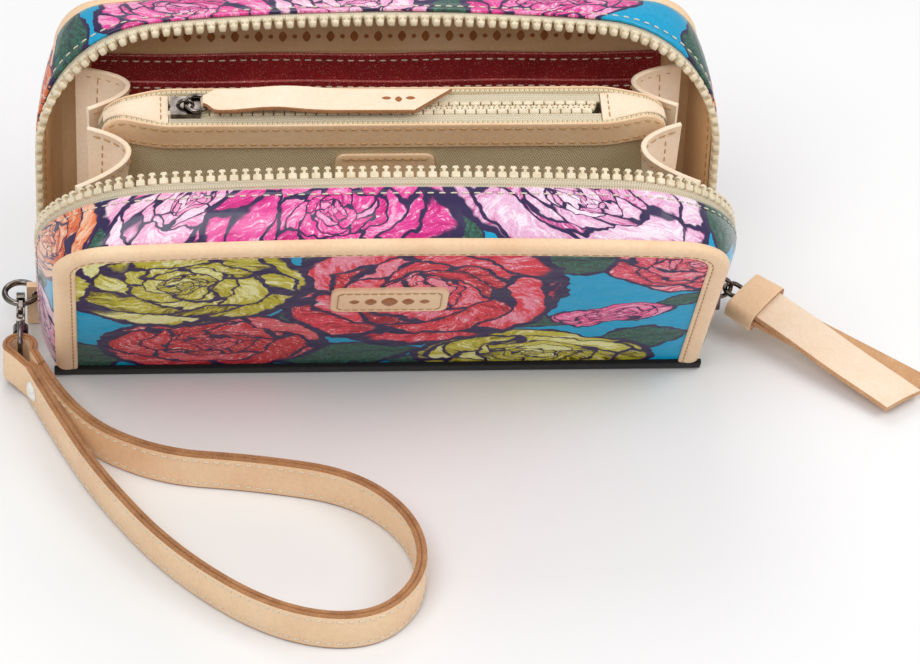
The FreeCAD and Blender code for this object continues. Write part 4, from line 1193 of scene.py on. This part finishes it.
def makeCoinPull():
    s = coinPull
    t = np.linspace(0, 1, 60)
    section = roundedSection(s["width"], s["thick"], 0.45, 4, 9)
    halfWide = np.where(t < 0.06, 1.8 + (s["width"] / 2 - 1.8) * smoothStep(t / 0.06), s["width"] / 2)
    halfWide = np.where(t < 0.012, 1.7, halfWide)
    y = halfWide[:, None] / (s["width"] / 2) * section[:, 0]
    reach = s["length"] - 6.0 * (0.5 - section[:, 0] / s["width"]) * 2
    x = s["ringAt"] - 1.6 + t[:, None] * (reach + 3.0)
    wave = 0.55 + 1.5 * np.exp(-((t - 0.33) / 0.16) ** 2) + 0.5 * np.exp(-((t - 0.02) / 0.05) ** 2) - 0.25 * t
    rings = xyz(x, y, s["level"] + wave[:, None] + section[:, 1])
    edge = rimSegments(1 * (section[:, 1] > s["thick"] / 2 - 0.12))
    profilePiece("coin_pull", "coin_pull", leanPocket(rings), [paleLeather, rawEdge], edge=edge)
    # the leather turns down round the ring and comes back underneath
    fold = np.linspace(math.pi * 0.5, math.pi * 1.45, 14)
    centre = np.array([s["ringAt"] - 0.4, s["level"] + 0.05])
    section = roundedSection(3.4, 1.0, 0.3, 4, 3)
    reach = s["foldRadius"] + section[:, 1]
    rings = np.array([xyz(centre[0] + reach * math.cos(a), section[:, 0], centre[1] + reach * math.sin(a))
                      for a in fold])
    profilePiece("coin_pull_fold", "coin_pull", leanPocket(rings), [paleLeather, rawEdge], stands=["coin_pull"])
    points, faces = lozenges([(0, 0), (3.6, 0.5), (-3.6, 0.5)], [(1.1, 1.2), (1.5, 0.7), (1.5, 0.7)], 0.08)
    tall = s["level"] + np.interp(0.83, t, wave) + s["thick"] / 2
    stamp = xyz(points[:, 0] + s["ringAt"] + 57, points[:, 2], tall - points[:, 1] + 0.01)
    makePiece("coin_pull_stamp", "coin_pull", leanPocket(stamp), faces, stampBrown)


makePull()
makeCoinPull()
print("pulls made")


strapShape = {"thick": 3.2, "width": 12.5, "lift": 0.2, "length": 344.7, "seam": 4.4,
              "route": [(-108.2, -32.9), (-98.9, -56.3), (-86.0, -84.0), (-65.0, -116.0), (-36.0, -141.0),
                        (-8.0, -145.5), (8.0, -128.0), (7.0, -104.0), (-10.0, -84.0), (-40.0, -77.0), (-70.0, -73.5),
                        (-95.3, -56.1), (-104.55, -32.9)]}


def routeLine(route, level):
    # the smooth line that a spline makes of the route's points
    curve = bpy.data.curves.new("route", "CURVE")
    curve.dimensions = "3D"
    curve.resolution_u = 24
    spline = curve.splines.new("NURBS")
    spline.points.add(len(route) - 1)
    for point, (x, y) in zip(spline.points, route):
        point.co = (x * 0.001, y * 0.001, level * 0.001, 1)
    spline.order_u = 3
    spline.use_endpoint_u = True
    carrier = bpy.data.objects.new("route", curve)
    scene.collection.objects.link(carrier)
    bpy.context.view_layer.update()
    mesh = bpy.data.meshes.new_from_object(carrier)
    line = np.empty(len(mesh.vertices) * 3)
    mesh.vertices.foreach_get("co", line)
    bpy.data.objects.remove(carrier)
    bpy.data.meshes.remove(mesh)
    return line.reshape(-1, 3)


def strapSection(thick, width):
    # two leather layers side by side: rounded rims with a seam groove down the middle of each cut edge
    t, w = thick / 2, width / 2
    half = np.array([(t, -w + 0.35), (t, w - 0.35), (t - 0.12, w - 0.1), (t - 0.4, w), (0.32, w - 0.02),
                     (0.12, w - 0.3), (0, w - 0.55)])
    right = np.vstack([half, half[::-1][1:] * (-1, 1)])
    return np.vstack([right, right[::-1][1:-1] * (1, -1)])


def strapRims(section, thick):
    return rimSegments(np.sign(section[:, 0]) * (np.abs(section[:, 0]) > thick / 2 - 0.01))


def ribbonRings(line, section):
    # the section's first number goes to the side of the line, its second straight up
    tangent = np.gradient(line, axis=0)
    tangent /= np.linalg.norm(tangent, axis=1)[:, None]
    aside = np.cross(np.array([0.0, 0.0, 1.0]), tangent)
    aside /= np.linalg.norm(aside, axis=1)[:, None]
    return line[:, None] + aside[:, None] * section[:, 0, None] + (0, 0, 1) * section[:, 1, None], aside


def makeStrap():
    s = strapShape
    middle = s["lift"] + s["width"] / 2
    line = routeLine(s["route"], middle) * 1000
    run = runLength(line)
    even = np.linspace(0, run[-1], 230)
    line = sampled(line, run, even)
    section = strapSection(s["thick"], s["width"])
    rings, aside = ribbonRings(line, section)
    edge = strapRims(section, s["thick"])
    strap = profilePiece("wrist_strap", "strap", rings, [naturalLeather, rawEdge], edge=edge)
    for side in (-1, 1):
        for level in (-s["seam"], s["seam"]):
            path = line + aside * side * (s["thick"] / 2 + 0.02) + np.array([0, 0, level])
            stitchRow(("strap", "cream"), path, aside * side, 3.2, 2)
    makeEndLoop()


loopShape = {"centre": (-110.7, -27.94), "radius": 4.25, "from": (-107.2, -35.4), "to": (-104.2, -33.8), "lift": 3.1,
             "thick": 2.4, "width": 12.5, "turn": (208, -28), "drop": 2.9}


def makeEndLoop():
    # the strap's end goes round the clasp's eye: straight to the circle, round it, and straight back
    s = loopShape
    cx, cy = s["centre"]
    turn = np.radians(np.linspace(*s["turn"], 34))
    arc = xyz(cx + s["radius"] * np.cos(turn), cy + s["radius"] * np.sin(turn))
    start, end = np.array(s["from"]), np.array(s["to"])
    share = np.linspace(0, 1, 8)[:-1, None]
    flat = np.vstack([start + (arc[0] - start) * share, arc, (end + (arc[-1] - end) * share)[::-1]])
    for _ in range(3):  # eases the two joins
        flat[1:-1] = (flat[:-2] + 2 * flat[1:-1] + flat[2:]) / 4
    line = xyz(*flat.T, s["lift"] + s["width"] / 2 - s["drop"] * (1 - smoothStep((flat[:, 1] + 36) / 6)))
    section = strapSection(s["thick"], s["width"])
    rings = ribbonRings(line, section)[0]
    edge = strapRims(section, s["thick"])
    profilePiece("strap_end_loop_sewn", "strap", rings, [naturalLeather, rawEdge],
                 stands=["strap_end_loop"], edge=edge)


makeStrap()
sewAll()
print("strap and stitches made")


studio = {"sky": 0.5, "floorHalf": 3.0, "floorLevel": -0.0002, "target": (0, -0.02, 0.04),
          "floor": [(0.3, (0.88, 0.88, 0.88, 1)), (0.7, (0.9, 0.9, 0.9, 1))],
          "lights": [((-0.35, -0.5, 0.95), 0.6, 4.4), ((0.6, -0.25, 0.7), 0.5, 2.6), ((-0.1, 0.6, 0.8), 0.6, 2.4)]}


def makeStudio():
    mesh = bpy.data.meshes.new("floor")
    far, level = studio["floorHalf"], studio["floorLevel"]
    mesh.from_pydata([(x * far, y * far, level) for x, y in ((-1, -1), (1, -1), (1, 1), (-1, 1))], [], [(0, 1, 2, 3)])
    floor = bpy.data.objects.new("floor", mesh)
    material, shader = openMaterial("pale floor", 0.9, specular=0.1)
    feed(shader.inputs["Base Color"], ramp(noise(objectPlace(), 6, 2), studio["floor"]))
    mesh.materials.append(material)
    scene.collection.objects.link(floor)
    world = bpy.data.worlds.new("studio")
    world.use_nodes = True
    sky = world.node_tree.nodes["Background"]
    sky.inputs[0].default_value, sky.inputs[1].default_value = (1, 1, 1, 1), studio["sky"]
    scene.world = world
    for number, (place, size, power) in enumerate(studio["lights"]):
        data = bpy.data.lights.new("softbox%d" % number, "AREA")
        data.shape, data.size, data.energy = "SQUARE", size, power
        light = bpy.data.objects.new("softbox%d" % number, data)
        light.location = place
        light.rotation_mode = "QUATERNION"
        light.rotation_quaternion = (Vector(studio["target"]) - Vector(place)).to_track_quat("-Z", "Y")
        scene.collection.objects.link(light)
    scene.view_settings.view_transform = "Standard"


makeStudio()
